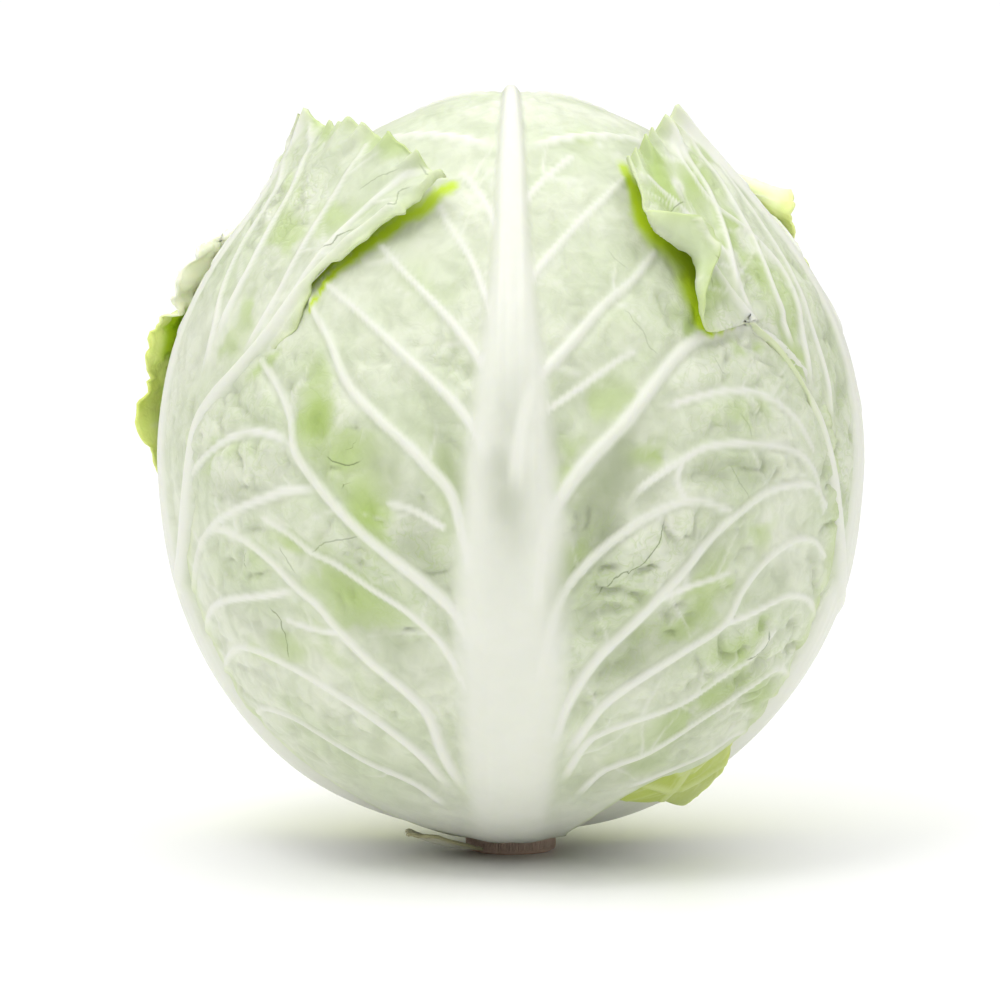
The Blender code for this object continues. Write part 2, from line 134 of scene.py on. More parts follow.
def pathDistance(points, path):  # distance to a path, and how far along it the nearest place is
    best = np.full(len(points), np.inf)
    share = np.zeros(len(points))
    steps = np.linalg.norm(np.diff(path, axis=0), axis=1)
    reached = np.concatenate([[0], np.cumsum(steps)])
    margin = 0.012 if len(path) < 12 else 0.03
    low, high = path.min(0) - margin, path.max(0) + margin
    near = np.where(((points > low) & (points < high)).all(1))[0]
    close = points[near]
    bestNear, shareNear = best[near], share[near]
    for i, step in enumerate(steps):
        way = path[i + 1] - path[i]
        f = np.clip(((close - path[i]) @ way) / step**2, 0, 1)
        gap = np.linalg.norm(close - path[i] - f[:, None] * way, axis=1)
        nearer = gap < bestNear
        bestNear = np.where(nearer, gap, bestNear)
        shareNear = np.where(nearer, (reached[i] + f * step) / reached[-1], shareNear)
    best[near], share[near] = bestNear, shareNear
    return best, share


# Leaves. midrib, left and right run from the leaf's foot to its tip, as azimuth and polar angle.
# Level counts layers over the head's face. Flare, tipFlare, frill, ruffle, pucker, teeth, ribWidth
# and ribHeight are in mm, and along means the share of the leaf's length.
frontLeaf = {
    "name": "frontLeaf",
    "node": "front_leaf",
    "slot": "pale_leaf",
    "grid": (262, 330),
    "centreDense": 0.22,
    "frontDense": 0.3,
    "midrib": [(0, 13), (0, 21), (0, 36), (0, 54), (0, 74), (0, 96), (0, 120), (0, 148), (0, 182), (0, 221)],
    "left": [(-47, 11.5), (-48, 19), (-60, 34), (-70, 52), (-72, 71), (-71, 88),
             (-72, 105), (-80, 122), (-108, 130), (-150, 135)],
    "right": [(46, 11.5), (30, 20.5), (37, 36), (63, 46), (68, 71), (69, 88),
              (70, 105), (78, 122), (108, 130), (150, 135)],
    "midribLevel": [0] * 10,
    "leftLevel": [0, 0, 0, 0, -0.1, -0.4, -0.45, -0.3, 0, 0],
    "rightLevel": [0, 0, 0, 0, -0.1, -0.4, -0.45, -0.3, 0, 0],
    "leftFlare": [0] * 10,
    "rightFlare": [0, 0, 0.3, 0.3, 0, 0, 0, 0, 0, 0],
    "tipFlare": 0.0,
    "ruffle": 0.0,
    "ribWidth": [11.5, 13, 15.5, 16.0, 11.2, 6.2, 4.2, 2.7, 2.0, 1.6],
    "ribHeight": [0.9, 2.7, 4.6, 4.9, 4.2, 3.4, 2.6, 2.0, 1.5, 0.8],
    "pucker": 1.05,
    "crownCalm": 0.75,  # the crown is stretched smooth
    "baseWhite": 0.75,  # a leaf is thick and white all over its base
    "ruleVeins": [0.80, 0.87, 0.93],
    "ruleRise": 0.05,
    "sizeMm": (75, 330),
    "tertiary": 150,
    "teeth": 0.6,
}

# Veins traced on the reference: width at the start and at the end and height, in mm, then the path
frontLeaf["veins"] = [
    (2.6, 1.2, 1.0, [(492, 392), (480, 364), (462, 338), (440, 312), (405, 275), (380, 246), (362, 226)]),
    (3.0, 1.3, 1.2, [(488, 470), (480, 440), (452, 402), (406, 358), (355, 310), (324, 282)]),
    (3.6, 1.6, 1.4, [(478, 600), (470, 555), (464, 530), (453, 493), (431, 468), (409, 445), (381, 420),
     (350, 386), (330, 340), (314, 312), (309, 290)]),
    (3.6, 1.9, 1.4, [(482, 660), (464, 620), (451, 602), (423, 577), (395, 555), (367, 532), (339, 504),
     (313, 473), (299, 451), (294, 419), (279, 386), (262, 362)]),
    (2.2, 2.2, 0.9, [(298, 452), (287, 440), (268, 434), (246, 434), (218, 448), (195, 471), (186, 490),
     (180, 540)]),
    (2.4, 1.0, 0.7, [(478, 700), (455, 658), (437, 633), (409, 608), (375, 586), (341, 563), (316, 551),
     (296, 535), (268, 518)]),
    (2.2, 2.2, 0.9, [(328, 490), (296, 490), (268, 499), (240, 510), (218, 524), (204, 543), (198, 566),
     (195, 590)]),
    (3.4, 1.8, 1.2, [(468, 790), (444, 748), (431, 712), (409, 687), (375, 659), (344, 628), (322, 602),
     (302, 586), (274, 558), (246, 538), (221, 529), (204, 540)]),
    (2.0, 2.0, 0.8, [(304, 588), (268, 594), (240, 597), (223, 602), (212, 614), (208, 635)]),
    (1.6, 1.0, 0.5, [(349, 630), (325, 628), (302, 622), (292, 618)]),
    (3.2, 1.5, 1.1, [(455, 790), (423, 751), (381, 717), (339, 689), (296, 664), (257, 647), (240, 647),
     (229, 661), (230, 680)]),
    (3.0, 1.3, 0.9, [(450, 806), (425, 785), (403, 773), (367, 757), (325, 732), (296, 715), (268, 706),
     (260, 711)]),
    (1.3, 0.7, 0.6, [(450, 529), (423, 513), (408, 507), (394, 504)]),
    (2.0, 0.9, 0.7, [(494, 330), (484, 296), (470, 260), (448, 226), (438, 208)]),
    (1.6, 0.8, 0.5, [(497, 240), (490, 215), (474, 190), (462, 176)]),
    (1.8, 0.9, 0.6, [(508, 236), (520, 212), (540, 186), (570, 160)]),
    (2.2, 1.1, 0.9, [(508, 350), (514, 312), (534, 278), (574, 230), (601, 203), (625, 179)]),
    (3.8, 1.8, 1.5, [(513, 500), (518, 446), (526, 408), (540, 380), (566, 351), (601, 310), (630, 284),
     (654, 254)]),
    (1.2, 0.8, 0.4, [(528, 424), (542, 415), (565, 400), (593, 380), (618, 362), (630, 356)]),
    (4.2, 2.6, 1.7, [(528, 640), (534, 600), (538, 560), (547, 516), (578, 470), (620, 426), (641, 399),
     (676, 356), (708, 334), (748, 326), (778, 342), (806, 372)]),
    (3.6, 1.7, 1.2, [(532, 690), (543, 640), (552, 606), (570, 576), (606, 541), (648, 513), (688, 500),
     (724, 510)]),
    (1.9, 1.9, 0.8, [(622, 508), (637, 488), (676, 462), (704, 448), (747, 445), (789, 451), (811, 470),
     (822, 510)]),
    (3.4, 1.6, 1.2, [(546, 760), (560, 712), (576, 680), (600, 648), (634, 616), (676, 572), (704, 538),
     (733, 513), (761, 493), (789, 485), (811, 487), (824, 505)]),
    (3.0, 1.6, 1.0, [(560, 760), (588, 716), (615, 689), (676, 650), (719, 622), (738, 588), (761, 560),
     (789, 541), (811, 541), (822, 556)]),
    (2.0, 1.4, 0.8, [(708, 630), (719, 622), (747, 611), (783, 595), (806, 600), (812, 618)]),
    (2.6, 1.2, 0.8, [(560, 780), (582, 742), (606, 726), (676, 701), (719, 673), (747, 656), (770, 630)]),
    (2.4, 1.4, 0.8, [(570, 800), (600, 768), (648, 748), (704, 712), (747, 684), (775, 667), (786, 678),
     (782, 700)]),
    (1.8, 1.1, 0.6, [(620, 786), (660, 770), (704, 751), (733, 732), (752, 729)]),
    (1.6, 1.4, 0.6, [(656, 412), (690, 400), (730, 392), (765, 398), (795, 420), (812, 450)]),
    (1.1, 0.8, 0.4, [(648, 600), (680, 586), (706, 578), (722, 572)]),
    (1.0, 0.7, 0.4, [(680, 455), (672, 480), (680, 500)]),
]


leftLeaf = {
    "name": "leftLeaf",
    "node": "left_leaf",
    "slot": "pale_leaf",
    "grid": (170, 230),
    "midrib": [(-74, 8.8), (-79, 20), (-82, 35), (-84, 52), (-85, 70), (-86, 85),
               (-86, 99), (-86, 112), (-86, 125), (-86, 138), (-86, 150)],
    "left": [(-98, 9.2), (-107, 20), (-113, 34), (-119, 52), (-122, 70), (-122, 85),
             (-121, 98), (-117, 110), (-113, 122), (-109, 134), (-106, 146)],
    "right": [(-50, 9.4), (-44, 15), (-41, 21), (-45, 27.5), (-50, 34), (-54, 43), (-57, 52), (-59.5, 61.5),
              (-61, 71), (-61.5, 80), (-61.3, 89.5), (-60.3, 97.5), (-55.5, 105), (-48.5, 112.5),
              (-44.3, 118), (-42.3, 124.5), (-39, 128.6), (-33.6, 132), (-27.5, 136), (-22, 139),
              (-14.5, 142.3)],
    "midribLevel": [-0.6, -0.4, 0, 0, 0, 0, 0.4, 0.9, 1.0, 1.1, 1.2],
    "leftLevel": [-0.9, -0.6, -0.4, 0, 0, 0, 0, 0.1, 0.6, 1.05, 1.2],
    "rightLevel": [-1.3, -1.3, -1.3, -1.3, -1.1, -0.75, -0.65, -0.2, 0.6, 1.15, 1.4],
    "leftFlare": [0, 0, 0, 0, 0, 0, 0, 0, 0, 0, 3],
    "rightFlare": [0, 0, 0, 0, 0, 0, 0, 0, 0.8, 2.4, 3],
    "frill": 1.5,
    "tipFlare": 7.0,
    "ruffle": 1.1,
    "ribWidth": [8, 11, 15, 16, 14, 11, 8, 6, 4.5, 3.5, 2.5],
    "ribHeight": [0.8, 1.2, 1.8, 2.0, 1.8, 1.5, 1.2, 1.0, 0.9, 0.8, 0.6],
    "pucker": 0.45,
    "baseWhite": 0.75,
    "tracedLift": 0.0035,  # metres that its veins lie in front of the head
    "ruleVeins": [0.16, 0.27, 0.38, 0.48, 0.58, 0.68, 0.78, 0.88],
    "ruleRise": 0.12,
    "ruleSides": (-1,),
    "sizeMm": (55, 220),
    "tertiary": 90,
    "teeth": 1.5,
}
leftLeaf["veins"] = [
    (6.5, 1.8, 2.2, [(170, 600), (172, 540), (176, 490), (184, 430), (200, 398), (226, 368), (258, 332),
     (289, 294), (318, 270), (352, 244), (395, 218)]),
    (2.8, 1.1, 1.0, [(205, 345), (222, 306), (243, 269), (268, 225), (294, 187), (318, 150), (330, 128)]),
    (2.4, 1.0, 0.9, [(192, 372), (206, 330), (218, 285), (240, 238), (262, 205), (290, 166), (315, 126)]),
    (2.2, 0.9, 0.8, [(232, 352), (262, 305), (290, 262), (318, 222), (345, 190), (372, 160)]),
    (2.0, 0.9, 0.7, [(262, 322), (300, 275), (335, 240), (372, 212), (405, 192), (430, 186)]),
]

rightLeaf = {
    "name": "rightLeaf",
    "node": "right_leaf",
    "slot": "pale_leaf",
    "grid": (170, 230),
    "midrib": [(72, 8.8), (77, 20), (79, 35), (80, 52), (81, 70), (82, 85),
               (83, 99), (83, 113), (82, 127), (80, 141), (74, 155)],
    "left": [(49, 9.4), (36, 14.5), (24, 20), (22, 27), (26, 34), (38, 43), (50, 52), (56, 61.5), (60, 71),
             (62, 79.5), (63.5, 88), (64, 95), (62.3, 102), (57, 111.5), (48.5, 118), (37.5, 117),
             (36.5, 123), (38.8, 129), (31.5, 134), (31.5, 141), (34, 148)],
    "right": [(97, 9.2), (104, 20), (111, 34), (117, 52), (120, 70), (120, 85),
              (119, 98), (116, 110), (113, 121), (110, 130), (104, 138)],
    "midribLevel": [-0.8, -0.6, -0.5, -0.3, 0, 0, 0.4, 0.9, 1.0, 1.1, 1.2],
    "leftLevel": [-1.3, -1.5, -1.55, -1.45, -1.2, -0.75, -0.65, -0.1, 1.1, 1.4, 1.4],
    "rightLevel": [-0.9, -0.6, -0.4, 0, 0, 0, 0, 0.1, 0.6, 0.8, 0.8],
    "leftFlare": [0, 0, 0, 0, 0, 0, 0, 0.5, 3.2, 3.0, 2.0],
    "rightFlare": [0] * 11,
    "frill": 1.2,
    "tipFlare": 4.5,
    "tipLean": 3.2,
    "ruffle": 1.1,
    "ribWidth": [8, 11, 15, 16, 14, 11, 8, 6, 4.5, 3.5, 2.5],
    "ribHeight": [0.8, 1.2, 1.8, 2.0, 1.8, 1.5, 1.2, 1.0, 0.9, 0.8, 0.6],
    "pucker": 0.45,
    "baseWhite": 0.75,
    "tracedLift": 0.0035,  # metres that its veins lie in front of the head
    "ruleVeins": [0.16, 0.27, 0.38, 0.48, 0.58, 0.68, 0.78, 0.88],
    "ruleRise": 0.12,
    "ruleSides": (1,),
    "sizeMm": (50, 220),
    "tertiary": 90,
    "fold": {"side": -1, "radius": 1.1, "along": [0.74, 0.80, 0.88, 0.925], "mm": [0, 5, 11, 0]},
    "teeth": 1.5,
}
rightLeaf["veins"] = [
    (6.5, 1.6, 2.2, [(842, 640), (850, 560), (846, 490), (834, 428), (812, 383), (785, 345), (748, 316),
     (722, 290), (700, 262), (684, 240)]),
    (2.6, 1.0, 0.9, [(826, 390), (815, 345), (788, 274), (748, 230), (716, 208), (690, 180), (668, 150)]),
    (2.4, 1.0, 0.9, [(738, 300), (734, 284), (721, 225), (706, 190), (680, 160), (660, 140)]),
    (2.4, 1.0, 0.9, [(808, 350), (780, 300), (764, 262), (748, 226), (721, 182), (694, 155), (672, 132)]),
    (2.0, 0.9, 0.7, [(846, 420), (836, 370), (812, 310), (790, 262), (760, 214), (730, 176), (700, 144)]),
    (1.8, 0.8, 0.6, [(756, 318), (742, 296), (728, 262), (700, 232), (670, 208), (645, 190)]),
]

rearLeftLeaf = {
    "name": "rearLeftLeaf",
    "node": "rear_left_leaf",
    "slot": "green_leaf",
    "grid": (150, 200),
    "midrib": [(-147, 8.4), (-147, 20), (-147, 35), (-147, 52), (-147, 70), (-147, 88),
               (-147, 104), (-147, 120), (-147, 133), (-148, 143), (-150, 151)],
    "left": [(-177, 8.8), (-182, 20), (-189, 34), (-193, 52), (-195, 70), (-195, 88),
             (-194, 104), (-191, 120), (-184, 133), (-175, 142), (-163, 149)],
    "right": [(-118, 8.8), (-116, 14), (-115, 20), (-114, 27), (-114, 34), (-114, 43), (-114, 52), (-113, 61),
              (-112, 70), (-109, 78), (-103, 85), (-97.5, 91), (-96, 97.5), (-95.5, 104), (-95.5, 110),
              (-95.5, 115.5), (-96, 120.5), (-98.5, 124.5), (-108, 127.5), (-119, 130.5), (-130, 133.5)],
    "midribLevel": [0, 0, 0, 0, 0, 0, 0, 0.4, 0.9, 1.2, 1.3],
    "leftLevel": [-0.3, -0.5, -0.4, 0, 0, 0, 0, 0.2, 0.9, 1.2, 1.3],
    "rightLevel": [0.2, 0.5, 0.95, 1.1, 1.0, 0.7, 0.85, 1.05, 1.45, 1.6, 1.3],
    "leftFlare": [0] * 11,
    "rightFlare": [0, 0, 0, 0, 0, 0, 5.0, 5.8, 4.4, 0.5, 0],
    "flarePower": 9,
    "blisterMm": 5.0,
    # painted light: the paler top also lifts this frill out of the left leaf's shade
    "paleTopAndLightShare": 1.0,
    "notches": [(1, 0.735, 4.5, 0.01), (1, 0.625, 1.8, 0.008), (1, 0.765, 1.6, 0.016), (1, 0.83, 1.2, 0.006)],
    "tipFlare": 0.0,
    "ruffle": 1.2,
    "ribWidth": [8, 11, 14, 13, 10, 8, 6.5, 5.5, 4.5, 3.5, 2.5],
    "ribHeight": [1.0, 2.0, 3.4, 3.6, 3.2, 2.6, 2.2, 1.8, 1.4, 0.8, 0.5],
    "pucker": 1.1,
    "tipCalm": 0.8,
    # painted light: a lime band where this frill is lit through from behind
    "glowBand": {"along": (0.65, 0.735), "across": (0.78, 0.975)},  # lit through from behind
    "ruleVeins": [0.16, 0.27, 0.38, 0.48, 0.58, 0.68, 0.78, 0.88],
    "ruleRise": 0.1,
    "sizeMm": (62, 230),
    "tertiary": 120,
    "teeth": 1.6,
}

rearRightLeaf = {
    "name": "rearRightLeaf",
    "node": "rear_right_leaf",
    "slot": "green_leaf",
    "grid": (150, 200),
    "midrib": [(147, 8.4), (147, 20), (146, 35), (145, 52), (144, 70), (144, 88),
               (144, 104), (145, 120), (145, 133), (146, 143), (149, 151)],
    "left": [(118, 8.8), (116, 14), (115, 20), (114, 27), (114, 34), (114, 43), (113, 52), (112.5, 61),
             (112, 70), (111.5, 78), (111, 86), (110.5, 93.5), (110, 101), (109.5, 108), (108.5, 115),
             (104, 121.5), (98, 127), (95.5, 131), (99.5, 133.5), (113, 133), (127, 134.5)],
    "right": [(176, 8.8), (175, 20), (178, 34), (180, 52), (181, 70), (181, 88),
              (180, 104), (178, 120), (171, 133), (165, 142), (160, 148)],
    "midribLevel": [0, 0, 0, 0, 0, 0, 0, 0.4, 0.9, 1.2, 1.3],
    "leftLevel": [0.2, 0.5, 0.95, 1.0, 1.0, 1.1, 1.2, 1.3, 1.2, 1.7, 1.3],
    "rightLevel": [0.3, 0.6, 1.1, 1.3, 1.3, 1.3, 1.3, 1.3, 1.25, 1.25, 1.3],
    "leftFlare": [0, 0, 0, 0, 0, 0, 0, 0, 0, 4.6, 0],
    "blisterMm": 4.5,
    "paleTopAndLightShare": 0.2,
    "notches": [(-1, 0.885, 1.0, 0.004), (-1, 0.865, 1.0, 0.005)],
    "rightFlare": [0, 0, 0, 0, 0.5, 1, 1, 0.5, 0, 0, 0],
    "flarePower": 9,
    "tipFlare": 0.0,
    "ruffle": 1.2,
    "ribWidth": [8, 11, 14, 13, 10, 8, 6.5, 5.5, 4.5, 3.5, 2.5],
    "ribHeight": [1.0, 2.0, 3.4, 3.6, 3.2, 2.6, 2.2, 1.8, 1.4, 0.8, 0.5],
    "pucker": 1.1,
    "tipCalm": 0.8,
    "ruleVeins": [0.16, 0.27, 0.38, 0.48, 0.58, 0.68, 0.78, 0.88],
    "ruleRise": 0.1,
    "sizeMm": (58, 230),
    "tertiary": 120,
    "teeth": 1.6,
}

tuckedLeaf = {
    "name": "tuckedLeaf",
    "node": "tucked_leaf",
    "slot": "green_leaf",
    "grid": (70, 60),
    "midrib": [(53, 30.5), (52, 36), (51, 42), (50, 48), (48, 54)],
    "left": [(27, 31.5), (28, 33.5), (33, 39), (38, 47), (42, 53)],
    "right": [(82, 27.5), (77, 35), (66, 43), (58, 49), (53, 53)],
    "midribLevel": [0.35, 0.1, -0.62, -0.68, -0.7],
    "leftLevel": [-0.35, -0.5, -0.64, -0.68, -0.7],
    "rightLevel": [0.9, 0.45, -0.5, -0.68, -0.7],
    "leftFlare": [0] * 5,
    "rightFlare": [0.8, 0.4, 0, 0, 0],
    "tipFlare": 0.0,
    "ruffle": 0.6,
    "ribWidth": [2] * 5,
    "ribHeight": [0.5] * 5,
    "pucker": 0.7,
    "greenAll": 0.85,
    "veinShare": 0.35,
    "ruleVeins": [0.12, 0.3, 0.5],
    "ruleRise": 0.22,
    "sizeMm": (20, 42),
    "tertiary": 26,
    "teeth": 1.3,
}

trimmedBase = {
    "name": "trimmedLeafBase",
    "node": "trimmed_leaf_base",
    "slot": "trimmed_leaf",
    "grid": (40, 30),
    "midrib": [(-52, 8.8), (-52, 12.5), (-53, 16), (-54, 19.5)],
    "left": [(-76, 8.8), (-75, 12), (-72, 15), (-68, 17.5)],
    "right": [(-29, 8.8), (-31, 11.5), (-36, 14.5), (-41, 17.5)],
    "midribLevel": [0.95, 1.0, 0.95, 0.8],
    "leftLevel": [0.85, 0.85, 0.8, 0.7],
    "rightLevel": [0.9, 0.9, 0.85, 0.75],
    "leftFlare": [0] * 4,
    "rightFlare": [0] * 4,
    "tipFlare": 0.6,
    "ruffle": 0.0,
    "ribWidth": [2] * 4,
    "ribHeight": [0] * 4,
    "pucker": 0.15,
    "ruleVeins": [],
    "ruleRise": 0.1,
    "sizeMm": (9, 13),
    "tertiary": 0,
    "teeth": 0.8,
}

# How every blade is finished
blade = {
    "thickness": 0.0010,  # metres
    "thinRim": 0.4,  # share of it that is lost at the margins
    "waves": 9.5,  # ruffles along a margin
    "unevenness": 9,  # changes of their size along it
    "fullFlare": 4,  # flare in mm at which they are fully grown
    "rimStart": 0.75,
    "tipStart": 0.84,
    "tipWaves": (19, 34),  # broad and fine waves across a raised tip
    "frillStart": 0.955,
    "frillWaves": (38, 71),
    "mostTriangles": 190000,
}
# Teeth along the margins: broad and fine ones in mm, and where they begin
teeth = {"sideMm": (7.0, 2.6), "tipMm": (8.0, 3.0), "fine": 0.45, "sideStart": 0.85, "tipStart": 0.94}
# Ribs and veins, in mm
relief = {
    "shoulder": 1.45,  # how steep a midrib's flanks are
    "strand": 2.6,  # spacing of the fine strands along a midrib
    "strandHeight": 0.09,
    "ribWhite": 0.85,
    "drawn": 0.7,  # traced widths are drawn narrower by this
    "leastHalf": 1.25,  # finer than this, a vein would break up into beads on the grid
    "join": 9,  # how soon a vein has grown out of the one that it leaves
    "branchHeight": 0.36,
    "branchWhite": 0.6,
}
sideVein = (2.8, 1.2, 1.0)  # a vein placed by rule: width at its start and end, and height, in mm
# Small branches: width at the start and end and height, and reach, in mm; angle in radians
branch = {"width": (0.95, 0.5, 0.38), "reach": (6, 17), "angle": 0.75, "spread": 0.5, "steps": 6}
# The skin between the veins, in mm
skinLook = {
    "bend": 3.0,
    "bendSize": 12.0,
    "stretch": 1.25,  # blisters are wider than they are tall
    "blister": 8.5,
    "zone": 28.0,
    "swell": 1.1,
    "swellSize": 18.0,
    "clearOfVeins": 3.0,
    "mottle": (12.0, 5.5, 2.5),
    "stray": 2.8,  # how far the outline of a patch wanders
    "straySizes": (11.0, 4.5),
}

# Dark cracks in the skin, traced like the veins, each with its strength
frontLeaf["cracks"] = [
    (1.0, [(361, 442), (357, 455), (354, 466), (350, 478), (347, 490)]),
    (0.9, [(330, 457), (342, 464), (354, 466), (366, 462)]),
    (0.6, [(316, 551), (324, 546), (333, 541), (348, 538), (364, 535)]),
    (0.8, [(274, 604), (283, 616), (290, 636), (294, 657)]),
    (0.5, [(286, 545), (294, 560), (302, 571)]),
    (0.35, [(724, 465), (731, 480), (744, 499)]),
    (0.9, [(660, 515), (654, 538), (644, 552), (631, 566), (612, 572), (592, 594)]),
    (0.9, [(766, 628), (762, 646), (752, 652), (741, 658)]),
    (0.6, [(250, 552), (249, 562), (252, 566)]),
    (0.25, [(606, 251), (614, 262), (626, 272)]),
    (0.35, [(621, 313), (630, 324), (638, 334), (646, 351), (655, 360)]),
    (0.35, [(710, 359), (716, 372), (722, 377)]),
    (0.3, [(734, 415), (742, 426), (748, 439)]),
]
leftLeaf["cracks"] = [
    (0.8, [(320, 249), (333, 246), (341, 238), (357, 234)]),
    (0.5, [(330, 268), (336, 267), (341, 265)]),
    (0.6, [(384, 218), (400, 217), (403, 203), (416, 201)]),
    (0.5, [(424, 182), (438, 195), (451, 198)]),
    (0.5, [(362, 199), (384, 190), (405, 186)]),
]
rightLeaf["cracks"] = [
    (0.8, [(664, 221), (672, 213), (682, 206)]),
    (0.5, [(700, 272), (706, 282), (709, 292)]),
]

# Green patches, and on the front leaf also strips of painted shade beside the flaps' ribs: middle and
# half-axes in reference pixels, turn in degrees, strength
frontLeaf["greenPatches"] = [
    (318, 412, 22, 46, 10, 0.9),
    (352, 452, 34, 30, 30, 0.7),
    (372, 508, 30, 46, -25, 0.9),
    (352, 590, 60, 30, 40, 0.75),
    (300, 548, 26, 18, 30, 0.6),
    (292, 640, 22, 26, 0, 0.5),
    (340, 650, 60, 22, 38, 0.4),
    (262, 655, 20, 14, 20, 0.4),
    (276, 700, 26, 12, 35, 0.35),
    (252, 440, 40, 22, -20, 0.45),
    (250, 560, 34, 40, 0, 0.25),
    (445, 480, 18, 70, -8, 0.35),
    (420, 300, 40, 30, 40, 0.25),
    (470, 560, 10, 60, 0, 0.3),
    (560, 560, 22, 60, 28, 0.5),
    (650, 452, 30, 28, 0, 0.7),
    (600, 400, 40, 26, -35, 0.55),
    (660, 330, 40, 40, -40, 0.4),
    (560, 470, 18, 70, 22, 0.45),
    (690, 600, 70, 34, -40, 0.65),
    (755, 540, 24, 24, 0, 0.5),
    (740, 640, 50, 30, -40, 0.6),
    (690, 700, 70, 26, -35, 0.65),
    (620, 760, 70, 26, -20, 0.35),
    (760, 690, 20, 26, 10, 0.6),
    (730, 420, 50, 24, 0, 0.4),
    (590, 132, 24, 14, 0, 0.45),
    (560, 175, 30, 12, -30, 0.3),
    (440, 150, 40, 30, 0, 0.15),
    # painted shade: the olive strips beside and under the flaps' ribs
    (302, 316, 6, 30, 40, 0.7),
    (266, 366, 6, 34, 42, 0.65),
    (230, 410, 6, 30, 35, 0.55),
    (208, 458, 5, 30, 12, 0.45),
    (748, 346, 34, 5, 22, 0.6),
    (786, 384, 6, 34, -38, 0.5),
    (690, 322, 20, 12, -20, 0.7),
]
leftLeaf["greenPatches"] = [
    (300, 240, 26, 20, -30, 0.6),
    (250, 305, 16, 46, 25, 0.55),
    (226, 345, 10, 40, 30, 0.4),
    (345, 228, 34, 14, -25, 0.55),
    (400, 180, 34, 16, 10, 0.5),
    (330, 132, 24, 12, 25, 0.6),
    (300, 190, 20, 14, -20, 0.45),
    (278, 300, 12, 40, 35, 0.4),
]
rightLeaf["greenPatches"] = [
    (655, 196, 16, 34, -20, 0.90),
    (690, 200, 26, 30, -40, 0.80),
    (668, 140, 16, 26, -30, 0.75),
    (720, 250, 14, 40, -25, 0.70),
    (752, 270, 12, 46, -30, 0.65),
    (700, 296, 14, 30, -20, 0.70),
    (800, 350, 8, 50, -25, 0.65),
    (780, 300, 10, 50, -30, 0.55),
]

# Painted shade in the hollows between the veins and down the midrib's groove, listed the same way
frontLeaf["greyHollows"] = [
    (509, 468, 26, 90, 0, 1.0),
    (600, 500, 24, 78, 20, 1.0),
    (566, 560, 18, 60, 18, 0.7),
    (650, 640, 66, 26, -40, 0.6),
    (690, 560, 40, 30, -30, 0.35),
    (700, 700, 60, 22, -35, 0.5),
    (425, 545, 20, 62, -22, 0.6),
    (446, 460, 14, 54, -12, 0.5),
    (390, 480, 16, 40, -35, 0.35),
    (640, 470, 30, 40, 20, 0.4),
    (560, 420, 16, 50, 22, 0.45),
    (385, 640, 60, 18, 38, 0.4),
    (300, 470, 30, 14, 0, 0.3),
    (340, 570, 40, 16, 35, 0.3),
    (600, 770, 70, 18, -25, 0.4),
    (420, 780, 40, 16, 35, 0.3),
    (740, 470, 50, 16, -5, 0.35),
    (760, 580, 40, 16, -15, 0.35),
    (240, 490, 40, 16, -5, 0.3),
    (260, 620, 40, 20, 20, 0.3),
]

# Painted light where light comes through the flaps: flap, its side, where along it starts, and how wide in mm
# it is from there to the tip
frontLeaf["flapGlow"] = [
    (leftLeaf, 1, 0.73, [0.9, 1.8, 2.8, 3.6, 3.8, 3.6, 3.0]),
    (rightLeaf, -1, 0.745, [1.5, 6.0, 10, 10.5, 7, 3.4, 2.8, 2.4]),
]


def seenOnHead(points):  # where a point in front of the head is seen against it
    tilt = math.radians(view["tilt"])
    x = points[:, 0]
    v = (points[:, 2] - head["centreZ"]) * math.cos(tilt) + points[:, 1] * math.sin(tilt)
    scale = view["mmPerPixel"] / 1000
    return fromView(np.stack([view["centreX"] + x / scale, view["centreY"] - v / scale], axis=-1))


def leafDirection(leaf, u, v):
    middle = smoothPath(direction(*np.array(leaf["midrib"]).T), v)
    left = smoothPath(direction(*np.array(leaf["left"]).T), v)
    right = smoothPath(direction(*np.array(leaf["right"]).T), v)
    side = np.where((u < 0)[..., None], left, right)
    return greatCircle(unit(middle), unit(side), np.abs(u))


def leafLift(leaf, u, v):
    share = np.abs(u)
    blend = smoothStep(share)
    sideLevel = np.where(u < 0, smoothPath(leaf["leftLevel"], v), smoothPath(leaf["rightLevel"], v))
    level = smoothPath(leaf["midribLevel"], v) * (1 - blend) + sideLevel * blend
    flare = np.where(u < 0, smoothPath(leaf["leftFlare"], v), smoothPath(leaf["rightFlare"], v))
    rim = np.clip((share - blade["rimStart"]) / (1 - blade["rimStart"]), 0, 1)
    row = np.stack([v * blade["unevenness"], u * 0 + 2, u * 0 + leaf["ruffle"]], axis=-1)
    uneven = softNoise(row, 1.0, 81)
    wave = np.sin(2 * np.pi * blade["waves"] * v + 2.0 * u + 4 * uneven)
    wave = wave * np.clip(flare / blade["fullFlare"], 0, 1) * rim**2 * (0.75 + 0.5 * uneven)
    towards = 1 - smoothStep(u * leaf.get("tipLean", 0))  # a tip may stand up on its left half only
    tip = np.clip((v - blade["tipStart"]) / (1 - blade["tipStart"]), 0, 1) ** 2
    tip = tip * np.cos(np.pi / 2 * share) ** 0.5
    broad, fine = blade["tipWaves"]
    tipWave = 1 + 0.2 * np.sin(broad * u + 1) + 0.16 * np.sin(fine * u)
    broad, fine = blade["frillWaves"]
    frill = np.sin(broad * u + 2 * uneven) + 0.5 * np.sin(fine * u + 1)
    frill = leaf.get("frill", 0) * fadeIn(v, blade["frillStart"], 1) * frill
    for side, place, depth, width in leaf.get("notches", []):
        flare = flare - np.where(np.sign(u) == side, depth * np.exp(-(((v - place) / width) ** 2)), 0)
    spread = flare * share ** leaf.get("flarePower", 5) + leaf["ruffle"] * wave
    raised = (leaf["tipFlare"] * tip * tipWave + frill) * towards
    return level * head["layerStep"] + (spread + raised) / 1000


